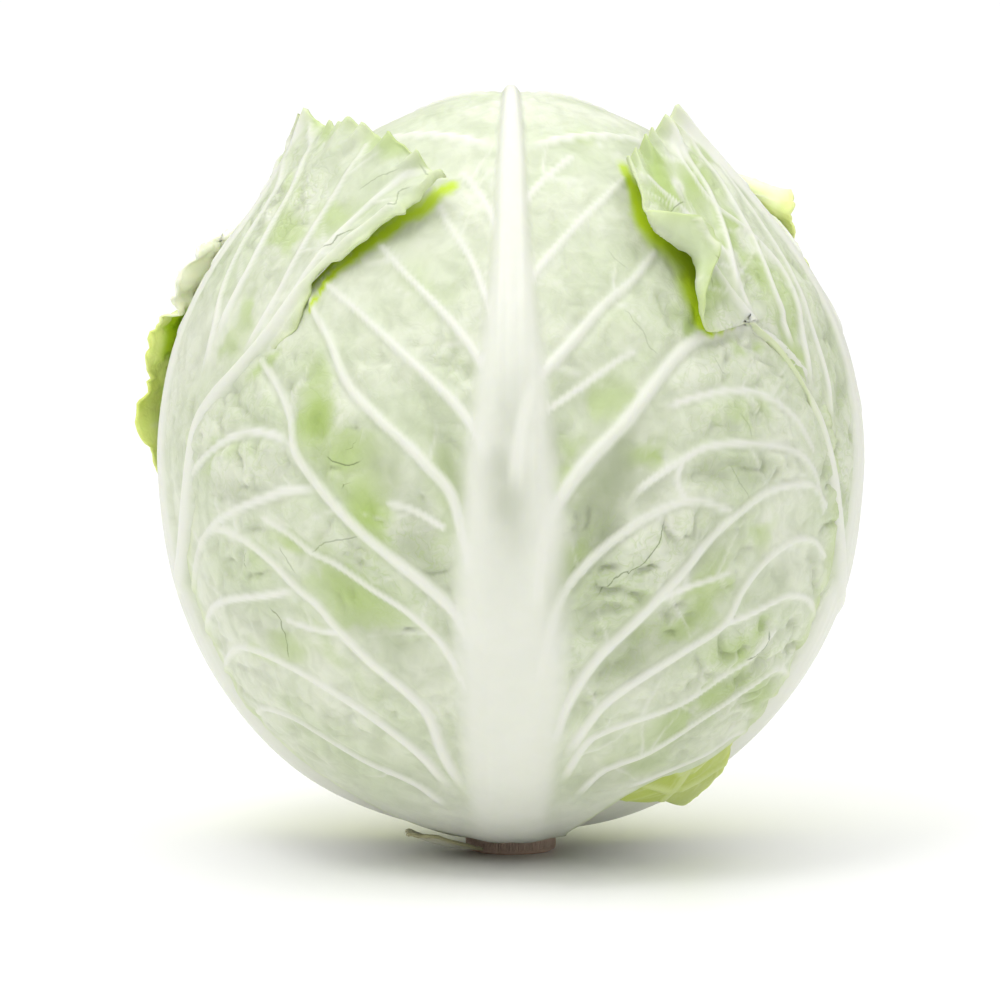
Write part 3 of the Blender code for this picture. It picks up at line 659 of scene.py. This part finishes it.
def ruleVeins(leaf):
    found = []
    share = np.linspace(0.04, 0.95, 12)
    for start in leaf["ruleVeins"]:
        for side in leaf.get("ruleSides", (-1, 1)):
            v = np.minimum(start + leaf["ruleRise"] * share * (2 - share), 0.985)
            found.append((*sideVein, leafDirection(leaf, side * share, v)))
    return found


def branchVeins(leaf, veins):  # small veins that leave the traced ones and wander off
    paths = [on for _, _, _, on in veins]
    midrib = leafDirection(leaf, np.zeros(60), np.linspace(0.12, 0.97, 60))
    shortest, longest = branch["reach"]
    found = []
    for k in range(leaf["tertiary"]):
        dice = np.array([[k, 7, 1], [k, 3, 2], [k, 5, 3], [k, 2, 9], [k, 8, 4]], float)
        pick, along, side, turn, size = (hashed(dice, 61) + 1) / 2
        path = paths[int(pick * 0.999 * len(paths))] if paths and k % 4 else midrib
        i = int((0.1 + 0.85 * along) * (len(path) - 2))
        forward = unit(path[i + 1] - path[i])
        across = np.cross(path[i], forward) * (1 if side > 0.5 else -1)
        angle = branch["angle"] + branch["spread"] * turn
        reach = (shortest + (longest - shortest) * size) / 1000 / head["radius"]
        line = [path[i]]
        for step in range(branch["steps"]):
            way = forward * math.cos(angle) + across * math.sin(angle)
            line.append(unit((line[-1] + way * reach / branch["steps"])[None])[0])
            angle += 0.25 * hashed(np.array([k, step, 5.0]), 67) - 0.03
        found.append((*branch["width"], np.array(line)))
    return found


def addRelief(leaf, base, veins, branches):
    midrib = onHead(leafDirection(leaf, np.zeros(80), np.linspace(0, 1, 80)))
    gap, share = pathDistance(base, midrib)
    gap = np.minimum(gap, 1.0)
    width = smoothPath(leaf["ribWidth"], share) / 1000
    rise = smoothPath(leaf["ribHeight"], share) / 1000
    ribbed = rise > 0
    height = rise * smoothStep(relief["shoulder"] * (1 - gap / width)) ** 0.7 * ribbed
    strands = np.sin(2 * np.pi * gap * 1000 / relief["strand"] + 0.8) * np.clip(1 - gap / width, 0, 1) ** 0.5
    height = height + relief["strandHeight"] / 1000 * strands * ribbed * fadeIn(share, 0.3, 0.4)
    vein = relief["ribWhite"] * smoothStep(2.2 * (1 - gap / (1.05 * width))) * ribbed
    nearest = gap - 0.8 * width
    lateral = np.zeros(len(base))
    for startWidth, endWidth, crest, path in veins:
        gap, share = pathDistance(base, onHead(path))
        half = relief["drawn"] * (startWidth + (endWidth - startWidth) * share)
        half = np.maximum(half, relief["leastHalf"]) / 1000
        join = smoothStep(share * relief["join"])
        fade = (1 - 0.45 * share) * (0.35 + 0.65 * join)
        bump = np.clip(1 - (gap / half) ** 2, 0, None) ** 1.5 * crest / 1000 * fade
        skirt = 0.3 * crest / 1000 * np.exp(-((gap / (2.6 * half)) ** 2)) * fade
        height = np.maximum(height, bump + skirt)
        lateral = np.maximum(lateral, join * (1 - 0.35 * share) * smoothStep(1.5 * (1 - gap / half)))
        nearest = np.minimum(nearest, gap - 0.6 * half)
    small = np.zeros(len(base))
    for startWidth, endWidth, _, path in branches:
        gap, share = pathDistance(base, onHead(path))
        half = (startWidth + (endWidth - startWidth) * share) / 1000
        bump = np.exp(-((gap / (0.6 * half)) ** 2)) * (1 - 0.6 * share)
        small = np.maximum(small, bump)
    height = height + small * relief["branchHeight"] / 1000 * np.exp(-np.clip(height / 0.0006, 0, 9))
    vein = np.maximum(np.maximum(vein, lateral), relief["branchWhite"] * small)
    return height, vein, nearest, lateral


def addPatches(base, patches):
    total = np.zeros(len(base))
    broad, fine = (size / 1000 for size in skinLook["straySizes"])
    stray = [softNoise(base, broad, seed) + 0.5 * softNoise(base, fine, seed) for seed in (91, 92)]
    stray = skinLook["stray"] / 1000 * np.stack(stray, axis=-1)
    pixel = view["mmPerPixel"] / 1000
    for px, py, halfX, halfY, turn, strength in patches:
        middle = onHead(fromView([(px, py)]))[0]
        a = math.radians(turn)
        dx = (base[:, 0] + stray[:, 0] - middle[0]) / pixel
        dy = -(base[:, 2] + stray[:, 1] - middle[2]) / pixel
        along = (dx * math.cos(a) + dy * math.sin(a)) / halfX
        across = (-dx * math.sin(a) + dy * math.cos(a)) / halfY
        inFront = base[:, 1] < 0.02
        total = np.maximum(total, strength * np.exp(-1.1 * (along**2 + across**2)) * inFront)
    return total


def setAttribute(mesh, name, values):
    attribute = mesh.attributes.new(name, "FLOAT", "POINT")
    attribute.data.foreach_set("value", values.astype(np.float32))


def addGrid(leaf):  # a plain grid, and how far across and along the leaf each point lies
    bpy.ops.object.select_all(action="DESELECT")
    across, along = leaf["grid"]
    bpy.ops.mesh.primitive_grid_add(x_subdivisions=across, y_subdivisions=along, size=2)
    piece = bpy.context.active_object
    piece.name = leaf["name"]
    flat = np.empty(len(piece.data.vertices) * 3, np.float32)
    piece.data.vertices.foreach_get("co", flat)
    flat = flat.reshape(-1, 3).astype(float)
    u, v = flat[:, 0], (flat[:, 1] + 1) / 2
    # rows and columns lie closer together where the leaf faces the viewer
    pinch, lean, phase = leaf.get("centreDense", 0), leaf.get("frontDense", 0), 0.15
    u = u * (1 - pinch + pinch * u**2)
    v = v + lean / (2 * np.pi) * (np.sin(2 * np.pi * (v + phase)) - math.sin(2 * np.pi * phase))
    return piece, u, np.clip(v, 0, 1)


def cutTeeth(leaf, u, v):  # lobes and small teeth along the margins
    width, length = leaf["sizeMm"]
    row = np.stack([v * length, 40 * np.sign(u), np.zeros(len(u))], axis=-1)
    column = np.stack([u * width, np.full(len(u), 90.0), np.zeros(len(u))], axis=-1)
    rim, tip = fadeIn(np.abs(u), teeth["sideStart"], 1), fadeIn(v, teeth["tipStart"], 1)
    broad, fine = teeth["sideMm"]
    tooth = softNoise(row, broad, 3) + teeth["fine"] * softNoise(row, fine, 4)
    broad, fine = teeth["tipMm"]
    tipTooth = softNoise(column, broad, 5) + teeth["fine"] * softNoise(column, fine, 6)
    share = np.abs(u) * (1 - leaf["teeth"] / width * tooth * rim)
    vCut = v * (1 - leaf["teeth"] / length * tipTooth * tip)
    return share, vCut, np.maximum(rim, tip)


def rollMargin(leaf, u, v, share):  # a strip of the margin rolls over and lies on the leaf
    if "fold" not in leaf:
        return share, np.zeros(len(u)), np.zeros(len(u))
    fold, width = leaf["fold"], leaf["sizeMm"][0]
    extra = np.interp(v, fold["along"], fold["mm"]) * (np.sign(u) == fold["side"])
    strip = np.clip(share * (width + extra) - width, 0, None)
    arc = math.pi * fold["radius"]
    over = np.clip(strip - arc, 0, None)
    angle = np.minimum(strip, arc) / fold["radius"]
    share = np.minimum(share * (1 + extra / width), 1) + (fold["radius"] * np.sin(angle) - over) / width
    lift = (fold["radius"] * (1 - np.cos(angle)) + 0.1 * over) / 1000
    return share, lift, smoothStep(strip / arc)


def addSkin(leaf, base, v, nearest, folded):  # soft blisters with creases between them
    size = leaf.get("blisterMm", skinLook["blister"]) / 1000
    bent = np.stack([softNoise(base, skinLook["bendSize"] / 1000, seed) for seed in (11, 12, 13)], axis=-1)
    bent = base + skinLook["bend"] / 1000 * bent
    bent[:, 2] *= skinLook["stretch"]
    billow = np.abs(softNoise(bent, size, 21)) + 0.6 * np.abs(softNoise(bent, size / 2, 22))
    dome = np.clip(billow * 2.1, 0, 1) ** 0.8
    zone = np.clip(0.6 + 0.7 * softNoise(base, skinLook["zone"] / 1000, 31), 0.12, 1)
    calm = smoothStep(nearest * 1000 / skinLook["clearOfVeins"])
    calm = calm * fadeIn(v, 0.12, 0.34) * (1 - folded)
    calm = calm * (1 - leaf.get("crownCalm", 0) * fadeIn(v, 0.6, 0.74))
    calm = calm * (1 - leaf.get("tipCalm", 0) * fadeIn(v, 0.88, 0.96))
    swell = skinLook["swell"] / 1000 * softNoise(base, skinLook["swellSize"] / 1000, 41) * calm
    rise = 2.4 * leaf["pucker"] / 1000 * zone * calm * (dome - 0.5) + swell
    # returns the rise, a mask of painted shade for the creases between blisters, and where the skin is
    # wrinkled
    return rise, np.clip((1 - dome) * 1.4, 0, 1) * calm * zone, calm * zone**1.5


# painted light: lime colour laid where light comes through a leaf onto this one
def addGlow(leaf, base, u, v):  # light that comes through a leaf onto this one
    paintedGlow = np.zeros(len(base))
    if "glowBand" in leaf:
        low, high = leaf["glowBand"]["along"]
        inner, outer = leaf["glowBand"]["across"]
        paintedGlow = fadeIn(v, low, low + 0.02) * fadeIn(v, high, high - 0.01)
        paintedGlow = paintedGlow * fadeIn(u, outer, outer - 0.04) * fadeIn(u, inner, inner + 0.06)
    for flap, side, start, widths in leaf.get("flapGlow", []):
        for inward in (1.0, 0.93, 0.86):
            along = np.linspace(start, 1 - 0.6 * (1 - inward), 40)
            place = np.full(40, side * inward)
            edge = onHead(leafDirection(flap, place, along), leafLift(flap, place, along))
            gap, share = pathDistance(base, onHead(seenOnHead(edge)))
            glow = np.interp(share, np.linspace(0, 1, len(widths)), widths) / 1000
            paintedGlow = np.maximum(paintedGlow, smoothStep(1.35 * (1 - gap / glow)))
    return paintedGlow


def addCracks(mesh, leaf, base, d):  # how far each point lies beside a crack, in mm, and how near
    crackOffset, crackNear = np.full(len(base), 5.0), np.zeros(len(base))
    for strength, path in leaf.get("cracks", []):
        way = onHead(fromView(smoothPath(path, np.linspace(0, 1, 12)), leaf.get("tracedLift", 0)))
        gap, share = pathDistance(base, way)
        here = gap < 0.004
        i = np.clip((share * 11).astype(int), 0, 10)
        side = np.sign((np.cross(way[i + 1] - way[i], base - way[i]) * d).sum(1))
        crackOffset = np.where(here, side * gap * 1000, crackOffset)
        near = fadeIn(gap, 0.0022, 0.0016) * smoothStep(share * 8) * smoothStep((1 - share) * 8)
        crackNear = np.maximum(crackNear, np.where(here, strength * near, 0))
    setAttribute(mesh, "crackOffset", crackOffset)
    setAttribute(mesh, "crackNear", crackNear)


def thicken(piece, height, thin):  # the blade grows inwards, and its unseen inner face is made plainer
    thickest = blade["thickness"] + max(height.max(), 1e-5)
    group = piece.vertex_groups.new(name="thickness")
    weights = (blade["thickness"] * (1 - blade["thinRim"] * thin) + height) / thickest
    for index, weight in enumerate(weights.tolist()):
        group.add([index], weight, "REPLACE")
    inside = piece.vertex_groups.new(name="inside")
    shell = piece.modifiers.new("blade", "SOLIDIFY")
    shell.thickness = thickest
    shell.vertex_group = group.name
    shell.shell_vertex_group = inside.name
    shell.offset = -1
    bpy.ops.object.modifier_apply(modifier=shell.name)
    triangles = 2 * len(piece.data.polygons)
    if triangles > blade["mostTriangles"]:
        plainer = piece.modifiers.new("plainer", "DECIMATE")
        plainer.ratio = blade["mostTriangles"] / triangles
        plainer.vertex_group = inside.name
        bpy.ops.object.modifier_apply(modifier=plainer.name)


def addLeaf(leaf, material):
    piece, u, v = addGrid(leaf)
    mesh = piece.data
    share, vCut, thin = cutTeeth(leaf, u, v)
    share, foldLift, folded = rollMargin(leaf, u, v, share)
    d = leafDirection(leaf, share * np.sign(u), vCut)
    base = onHead(d)
    veins = []
    for startWidth, endWidth, crest, path in leaf.get("veins", []):
        traced = smoothPath(path, np.linspace(0, 1, 5 * len(path)))
        veins.append((startWidth, endWidth, crest, fromView(traced, leaf.get("tracedLift", 0))))
    veins += ruleVeins(leaf)
    height, vein, nearest, lateral = addRelief(leaf, base, veins, branchVeins(leaf, veins))
    rise, blisterValleyShade, skin = addSkin(leaf, base, v, nearest, folded)
    points = onHead(d, leafLift(leaf, u, v) + height * (1 - folded) + rise + foldLift)
    mesh.vertices.foreach_set("co", points.astype(np.float32).ravel())

    mottle = [softNoise(base, size / 1000, 51 + k) for k, size in enumerate(skinLook["mottle"])]
    mottle = mottle[0] + 0.7 * mottle[1] + 0.4 * mottle[2]
    green = addPatches(base, leaf.get("greenPatches", []))
    green = np.maximum(green * smoothStep((green + 0.42 * mottle - 0.16) / 0.34), leaf.get("greenAll", 0))
    # painted shade: grey-green where the hollows between the veins and the midrib's groove lie in shade
    sageAndShade = addPatches(base, leaf.get("greyHollows", []))
    sageAndShade = sageAndShade * np.clip(0.8 + 0.35 * mottle, 0, 1) * (1 - 0.85 * lateral)
    vein = np.maximum(vein, leaf.get("baseWhite", 0) * fadeIn(v, 0.3, 0.1)) * leaf.get("veinShare", 1)
    # paler upper part: partly the leaf's own tone, partly painted light that lifts a frill lying in shade
    paleTopAndLight = leaf.get("paleTopAndLightShare", 0.5) * fadeIn(v, 0.7, 0.75) * fadeIn(np.abs(u), 0.35, 0.65)
    width, length = leaf["sizeMm"]
    fromRim = np.minimum((1 - np.abs(u)) * width, (1 - v) * length)
    colouring = {
        "vein": vein,
        "green": np.maximum(green, 0.25 * folded),
        "sageAndShade": sageAndShade,
        "paleTopAndLight": paleTopAndLight,
        # painted light where light comes through a flap
        "paintedGlow": addGlow(leaf, base, u, v),
        "rim": fadeIn(fromRim, 5, 0) + 0.6 * fadeIn(fromRim, 1, 0),
        "blisterValleyShade": blisterValleyShade,
        "skin": skin,
    }
    for name, values in colouring.items():
        setAttribute(mesh, name, values)
    addCracks(mesh, leaf, base, d)
    thicken(piece, height, thin)
    mesh.materials.append(material)
    mesh.shade_smooth()
    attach(piece, "root")
    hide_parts(leaf["node"])
    print("leaf", leaf["name"], len(mesh.polygons), "faces")


def srgb(code):
    values = [int(code[i : i + 2], 16) / 255 for i in (1, 3, 5)]
    return (*[c / 12.92 if c <= 0.04045 else ((c + 0.055) / 1.055) ** 2.4 for c in values], 1)


def addNode(tree, kind, settings={}, links={}):
    node = tree.nodes.new(kind)
    for name, value in settings.items():
        if isinstance(name, int) or not hasattr(node, name):
            node.inputs[name].default_value = value
        else:
            setattr(node, name, value)
    for name, source in links.items():
        tree.links.new(source, node.inputs[name])
    return node


def mixColour(tree, amount, first, second, settings={}):
    node = addNode(tree, "ShaderNodeMix", {"data_type": "RGBA", **settings})
    for slot, value in ((0, amount), (6, first), (7, second)):
        if isinstance(value, (tuple, float, int)):
            node.inputs[slot].default_value = value
        else:
            tree.links.new(value, node.inputs[slot])
    return node.outputs[2]


def times(tree, first, second):
    node = addNode(tree, "ShaderNodeMath", {"operation": "MULTIPLY", "use_clamp": True})
    for slot, value in ((0, first), (1, second)):
        if isinstance(value, (float, int)):
            node.inputs[slot].default_value = value
        else:
            tree.links.new(value, node.inputs[slot])
    return node.outputs[0]


# Painted lime light where light comes through, dark cracks, and how much paler a leaf's upper part is, partly
# its own tone and partly painted light
leafFinish = {"paintedGlow": "#BDD724", "crack": "#5E6E3C", "paleTopAndLight": "#E3E7D8", "paleTopAndLightShare": 0.0}


def leafMaterial(name, look):
    finish = {**leafFinish, **look}
    material = bpy.data.materials.new(name)
    material.use_nodes = True
    tree = material.node_tree
    shader = tree.nodes["Principled BSDF"]
    coords = addNode(tree, "ShaderNodeTexCoord").outputs["Object"]

    def attribute(key):
        return addNode(tree, "ShaderNodeAttribute", {"attribute_name": key}).outputs["Fac"]

    def noise(sizeMm, detail, distortion=0.0):
        look = {"Scale": 1000 / sizeMm, "Detail": detail, "Distortion": distortion}
        return addNode(tree, "ShaderNodeTexNoise", look, {"Vector": coords}).outputs["Fac"]

    def ranged(source, low, high, toLow=0.0, toHigh=1.0):
        limits = {"From Min": low, "From Max": high, "To Min": toLow, "To Max": toHigh}
        return addNode(tree, "ShaderNodeMapRange", limits, {"Value": source}).outputs["Result"]

    def maths(operation, settings, links):
        return addNode(tree, "ShaderNodeMath", {"operation": operation, **settings}, links).outputs[0]

    cloud = ranged(noise(24, 3), 0.35, 0.68)
    mottle = ranged(noise(6, 4, 0.8), 0.4, 0.7)
    grain = noise(1.1, 3)
    folds = maths("ABSOLUTE", {}, {0: maths("SUBTRACT", {1: 0.5}, {0: noise(3.6, 2, 0.6)})})
    # painted shade: the grooves of the fine folds are darkened green
    creaseShadeLine = times(tree, ranged(folds, 0.0, 0.045, 1.0, 0.0), attribute("skin"))

    colour = mixColour(tree, cloud, srgb(finish["lamina"]), srgb(finish["laminaDeep"]))
    layers = [  # from the bottom up: where, how strongly, which colour
        (mottle, 0.24, "sageAndShade"),
        # painted shade from the hollow patches, laid under the veins
        (attribute("sageAndShade"), 0.85, "sageAndShade"),
        # painted shade in the creases between blisters
        (attribute("blisterValleyShade"), 0.36, "sageAndShade"),
        (attribute("green"), 1.0, "patch"),
        # painted shade along the fold grooves
        (creaseShadeLine, 0.3, "patch"),
        (attribute("vein"), 1.0, "vein"),
        # the same painted shade again, laid over the veins and the midrib
        (attribute("sageAndShade"), 0.45, "sageAndShade"),
        (attribute("rim"), finish["rimShare"], "rim"),
        # paler upper part, partly own tone and partly painted light
        (attribute("paleTopAndLight"), finish["paleTopAndLightShare"], "paleTopAndLight"),
        # painted light, lime, where light comes through a leaf
        (attribute("paintedGlow"), 1.0, "paintedGlow"),
    ]
    for place, strength, name in layers:
        colour = mixColour(tree, times(tree, place, strength), colour, srgb(finish[name]))
    offset = maths("ADD", {}, {0: attribute("crackOffset"), 1: ranged(noise(3.0, 3), 0.0, 1.0, -0.6, 0.6)})
    crackLine = ranged(maths("ABSOLUTE", {}, {0: offset}), 0.05, 0.28, 1.0, 0.0)
    crackLine = times(tree, times(tree, crackLine, attribute("crackNear")), 0.75)
    colour = mixColour(tree, crackLine, colour, srgb(finish["crack"]))
    tree.links.new(colour, shader.inputs["Base Color"])
    shine = ranged(grain, 0.3, 0.7, finish["roughness"] - 0.05, finish["roughness"] + 0.07)
    tree.links.new(shine, shader.inputs["Roughness"])
    ridged = times(tree, ranged(folds, 0.0, 0.14), attribute("skin"))
    height = maths("MULTIPLY_ADD", {1: 0.1}, {0: noise(1.6, 2), 2: ridged})
    bump = addNode(tree, "ShaderNodeBump", {"Strength": 0.28, "Distance": 0.0007}, {"Height": height})
    tree.links.new(bump.outputs["Normal"], shader.inputs["Normal"])
    shader.inputs["IOR"].default_value = 1.42
    shader.inputs["Subsurface Weight"].default_value = finish["subsurface"]
    shader.inputs["Subsurface Radius"].default_value = (0.8, 1.0, 0.3)
    shader.inputs["Subsurface Scale"].default_value = 0.0018
    return material


# Fresh cabbage leaf: waxy, thin, white where the veins are thick
paleLeaf = leafMaterial("waxyPaleLeaf", {
    "lamina": "#D9DDCA", "laminaDeep": "#C6CFB1", "sageAndShade": "#8C9674", "patch": "#A3BB62", "vein": "#E1E2D8",
    "rim": "#C3D588", "rimShare": 0.3, "roughness": 0.42, "subsurface": 0.2,
})
# Outer leaf that grew in the light: yellow-green and blistered
greenLeaf = leafMaterial("waxyGreenLeaf", {
    "lamina": "#EDF5AE", "laminaDeep": "#DFEA86", "sageAndShade": "#BACB5C", "patch": "#A9B94A", "vein": "#EEF3C8",
    "rim": "#D2E070", "rimShare": 0.4, "roughness": 0.42, "subsurface": 0.35,
    "paleTopAndLight": "#F8FCE4", "paleTopAndLightShare": 1.0,
})
trimmedLeaf = leafMaterial("driedLeafStub", {
    "lamina": "#E2E2D2", "laminaDeep": "#D6D6C0", "sageAndShade": "#B9B58F", "patch": "#B4C97F", "vein": "#EDECE0",
    "rim": "#B9B48C", "rimShare": 0.6, "roughness": 0.5, "subsurface": 0.08,
})
print("materials ready")

addLeaf(frontLeaf, paleLeaf)
addLeaf(leftLeaf, paleLeaf)
addLeaf(rightLeaf, paleLeaf)
addLeaf(rearLeftLeaf, greenLeaf)
addLeaf(rearRightLeaf, greenLeaf)
addLeaf(tuckedLeaf, greenLeaf)
addLeaf(trimmedBase, trimmedLeaf)

# The folded inner leaves, a pale ball that shows only through the gaps
heart = {
    "name": "heart",
    "node": "heart",
    "slot": "heart_leaf",
    "depth": 0.0071,  # metres under the head's face
    "swell": 0.0005,
    "creaseDepth": 0.0008,
}
heartLeaf = leafMaterial("innerLeaf", {
    "lamina": "#DDE6B8", "laminaDeep": "#C5D57E", "sageAndShade": "#A9BD6C", "patch": "#B4C97F", "vein": "#EDF1DA",
    "rim": "#B5C95A", "rimShare": 0.3, "roughness": 0.45, "subsurface": 0.1,
})
bpy.ops.object.select_all(action="DESELECT")
bpy.ops.mesh.primitive_ico_sphere_add(subdivisions=6, radius=1)
heartPiece = bpy.context.active_object
heartPiece.name = heart["name"]
ball = np.empty(len(heartPiece.data.vertices) * 3, np.float32)
heartPiece.data.vertices.foreach_get("co", ball)
ball = unit(ball.reshape(-1, 3).astype(float))
turn = np.arctan2(ball[:, 0], -ball[:, 1])
fold = np.abs(np.sin(1.5 * turn + 2 * ball[:, 2]))
lift = heart["swell"] * np.sin(3 * turn + 4 * ball[:, 2]) - heart["depth"] - heart["creaseDepth"] * fold
inner = onHead(ball, lift)
heartPiece.data.vertices.foreach_set("co", inner.astype(np.float32).ravel())
setAttribute(heartPiece.data, "vein", 0.5 * (1 - smoothStep(fold * 6)))
heartPiece.data.materials.append(heartLeaf)
heartPiece.data.shade_smooth()
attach(heartPiece, "root")
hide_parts(heart["node"])

# The cut stem: a short stub whose flat face stands on the floor
stem = {
    "name": "stem",
    "node": "stem",
    "slot": "cut_stem",
    "radius": 0.0118,
    "height": 0.0092,
    "bevel": 0.0011,
    "worn": 0.0004,  # how far its side is dried in and out of round
    "fibres": 900,  # a metre
    "blotches": 190,
}
stemCut = bpy.data.materials.new("driedStemCut")  # bruised pinkish brown, fibrous, with paler blotches
stemCut.use_nodes = True
tree = stemCut.node_tree
shader = tree.nodes["Principled BSDF"]
coords = addNode(tree, "ShaderNodeTexCoord").outputs["Object"]
stretch = addNode(tree, "ShaderNodeMapping", {"Scale": (1, 1, 0.25)}, {"Vector": coords}).outputs["Vector"]
fibresLook = {"Scale": stem["fibres"], "Detail": 4}
fibres = addNode(tree, "ShaderNodeTexNoise", fibresLook, {"Vector": stretch}).outputs["Fac"]
blotchLook = {"Scale": stem["blotches"], "Detail": 3}
blotch = addNode(tree, "ShaderNodeTexNoise", blotchLook, {"Vector": coords}).outputs["Fac"]
colour = mixColour(tree, times(tree, fibres, 0.9), srgb("#F0D2BF"), srgb("#CFA48C"))
colour = mixColour(tree, times(tree, blotch, 0.8), colour, srgb("#F2DCCB"))
tree.links.new(colour, shader.inputs["Base Color"])
shader.inputs["Roughness"].default_value = 0.6
bump = addNode(tree, "ShaderNodeBump", {"Strength": 0.7, "Distance": 0.0006}, {"Height": fibres})
tree.links.new(bump.outputs["Normal"], shader.inputs["Normal"])
bpy.ops.object.select_all(action="DESELECT")
bpy.ops.mesh.primitive_cylinder_add(vertices=96, radius=stem["radius"], depth=stem["height"])
stemPiece = bpy.context.active_object
stemPiece.name = stem["name"]
bpy.ops.object.mode_set(mode="EDIT")
bpy.ops.mesh.select_all(action="SELECT")
bpy.ops.mesh.bevel(offset=stem["bevel"], segments=3)
bpy.ops.mesh.select_all(action="SELECT")
bpy.ops.mesh.subdivide(number_cuts=3)
bpy.ops.object.mode_set(mode="OBJECT")
flat = np.empty(len(stemPiece.data.vertices) * 3, np.float32)
stemPiece.data.vertices.foreach_get("co", flat)
flat = flat.reshape(-1, 3).astype(float)
flat[:, 2] += stem["height"] / 2
outer = fadeIn(np.hypot(flat[:, 0], flat[:, 1]) / stem["radius"], 0.8, 1)
outward = unit(flat * (1, 1, 0) + (1e-9, 0, 0))
turn = np.arctan2(flat[:, 0], -flat[:, 1])
wave = 0.5 * np.sin(5 * turn + 1) + 0.35 * np.sin(11 * turn) + 0.8 * softNoise(flat + 1, 0.0028, 71)
flat -= outward * (stem["worn"] * outer * (1 + np.clip(wave, -1, 1)))[:, None]
stemPiece.data.vertices.foreach_set("co", flat.astype(np.float32).ravel())
stemPiece.data.materials.append(stemCut)
stemPiece.data.shade_smooth()
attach(stemPiece, "root")
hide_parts(stem["node"])
print("heart and stem", len(heartPiece.data.polygons), len(stemPiece.data.polygons), "faces")

# Floor, light and camera
bpy.ops.object.select_all(action="DESELECT")
bpy.ops.mesh.primitive_plane_add(size=14, location=(0, 0, 0))
floor = bpy.context.active_object
floor.name = "studioFloor"
floorPaint = bpy.data.materials.new("whiteFloor")
floorPaint.use_nodes = True
floorPaint.node_tree.nodes["Principled BSDF"].inputs["Base Color"].default_value = srgb("#FCFCFC")
floorPaint.node_tree.nodes["Principled BSDF"].inputs["Roughness"].default_value = 0.35
floor.data.materials.append(floorPaint)

world = bpy.data.worlds.new("studio")
bpy.context.scene.world = world
world.use_nodes = True
# a broad soft ceiling: bright overhead, dim near the horizon
studio = {"horizon": 0.04, "zenith": 1.78, "keyPower": 5.5, "fillPower": 0.4}
sky = world.node_tree
facing = addNode(sky, "ShaderNodeTexCoord").outputs["Generated"]
rise = addNode(sky, "ShaderNodeSeparateXYZ", {}, {"Vector": facing}).outputs["Z"]
brightness = {"From Min": 0.0, "From Max": 0.9, "To Min": studio["horizon"], "To Max": studio["zenith"]}
brightness["interpolation_type"] = "SMOOTHSTEP"
strength = addNode(sky, "ShaderNodeMapRange", brightness, {"Value": rise})
sky.nodes["Background"].inputs["Color"].default_value = (1, 1, 1, 1)
sky.links.new(strength.outputs["Result"], sky.nodes["Background"].inputs["Strength"])


def addSoftbox(name, place, size, power):
    bpy.ops.object.light_add(type="AREA", location=place)
    light = bpy.context.active_object
    light.name = name
    light.data.shape = "SQUARE"
    light.data.size = size
    light.data.energy = power
    aim = np.array([0, 0, 0.1]) - np.array(place)
    down = math.atan2(math.hypot(aim[0], aim[1]), -aim[2])
    light.rotation_euler = (down, 0, math.atan2(aim[0], -aim[1]) + math.pi)


addSoftbox("keyBox", (-0.5, -0.7, 1.55), 0.5, studio["keyPower"])
addSoftbox("fillBox", (1.3, -1.2, 0.8), 0.9, studio["fillPower"])

camera = {"distance": 2.4, "sensor": 36, "frameMm": 255.0}
cameraData = bpy.data.cameras.new("camera")
cameraObject = bpy.data.objects.new("camera", cameraData)
bpy.context.scene.collection.objects.link(cameraObject)
cameraData.sensor_width = camera["sensor"]
cameraData.lens = camera["sensor"] * camera["distance"] / (camera["frameMm"] / 1000)
cameraData.clip_end = 50
tilt = math.radians(view["tilt"])
halfFrame = 500  # pixels of the reference view
offX = (halfFrame - view["centreX"]) * view["mmPerPixel"] / 1000
offUp = (view["centreY"] - halfFrame) * view["mmPerPixel"] / 1000
aimPoint = np.array([offX, offUp * math.sin(tilt), head["centreZ"] + offUp * math.cos(tilt)])
cameraObject.location = aimPoint + camera["distance"] * np.array([0, -math.cos(tilt), math.sin(tilt)])
cameraObject.rotation_euler = (math.pi / 2 - tilt, 0, 0)
bpy.context.scene.camera = cameraObject
bpy.context.scene.view_settings.view_transform = "Standard"
print("studio ready")
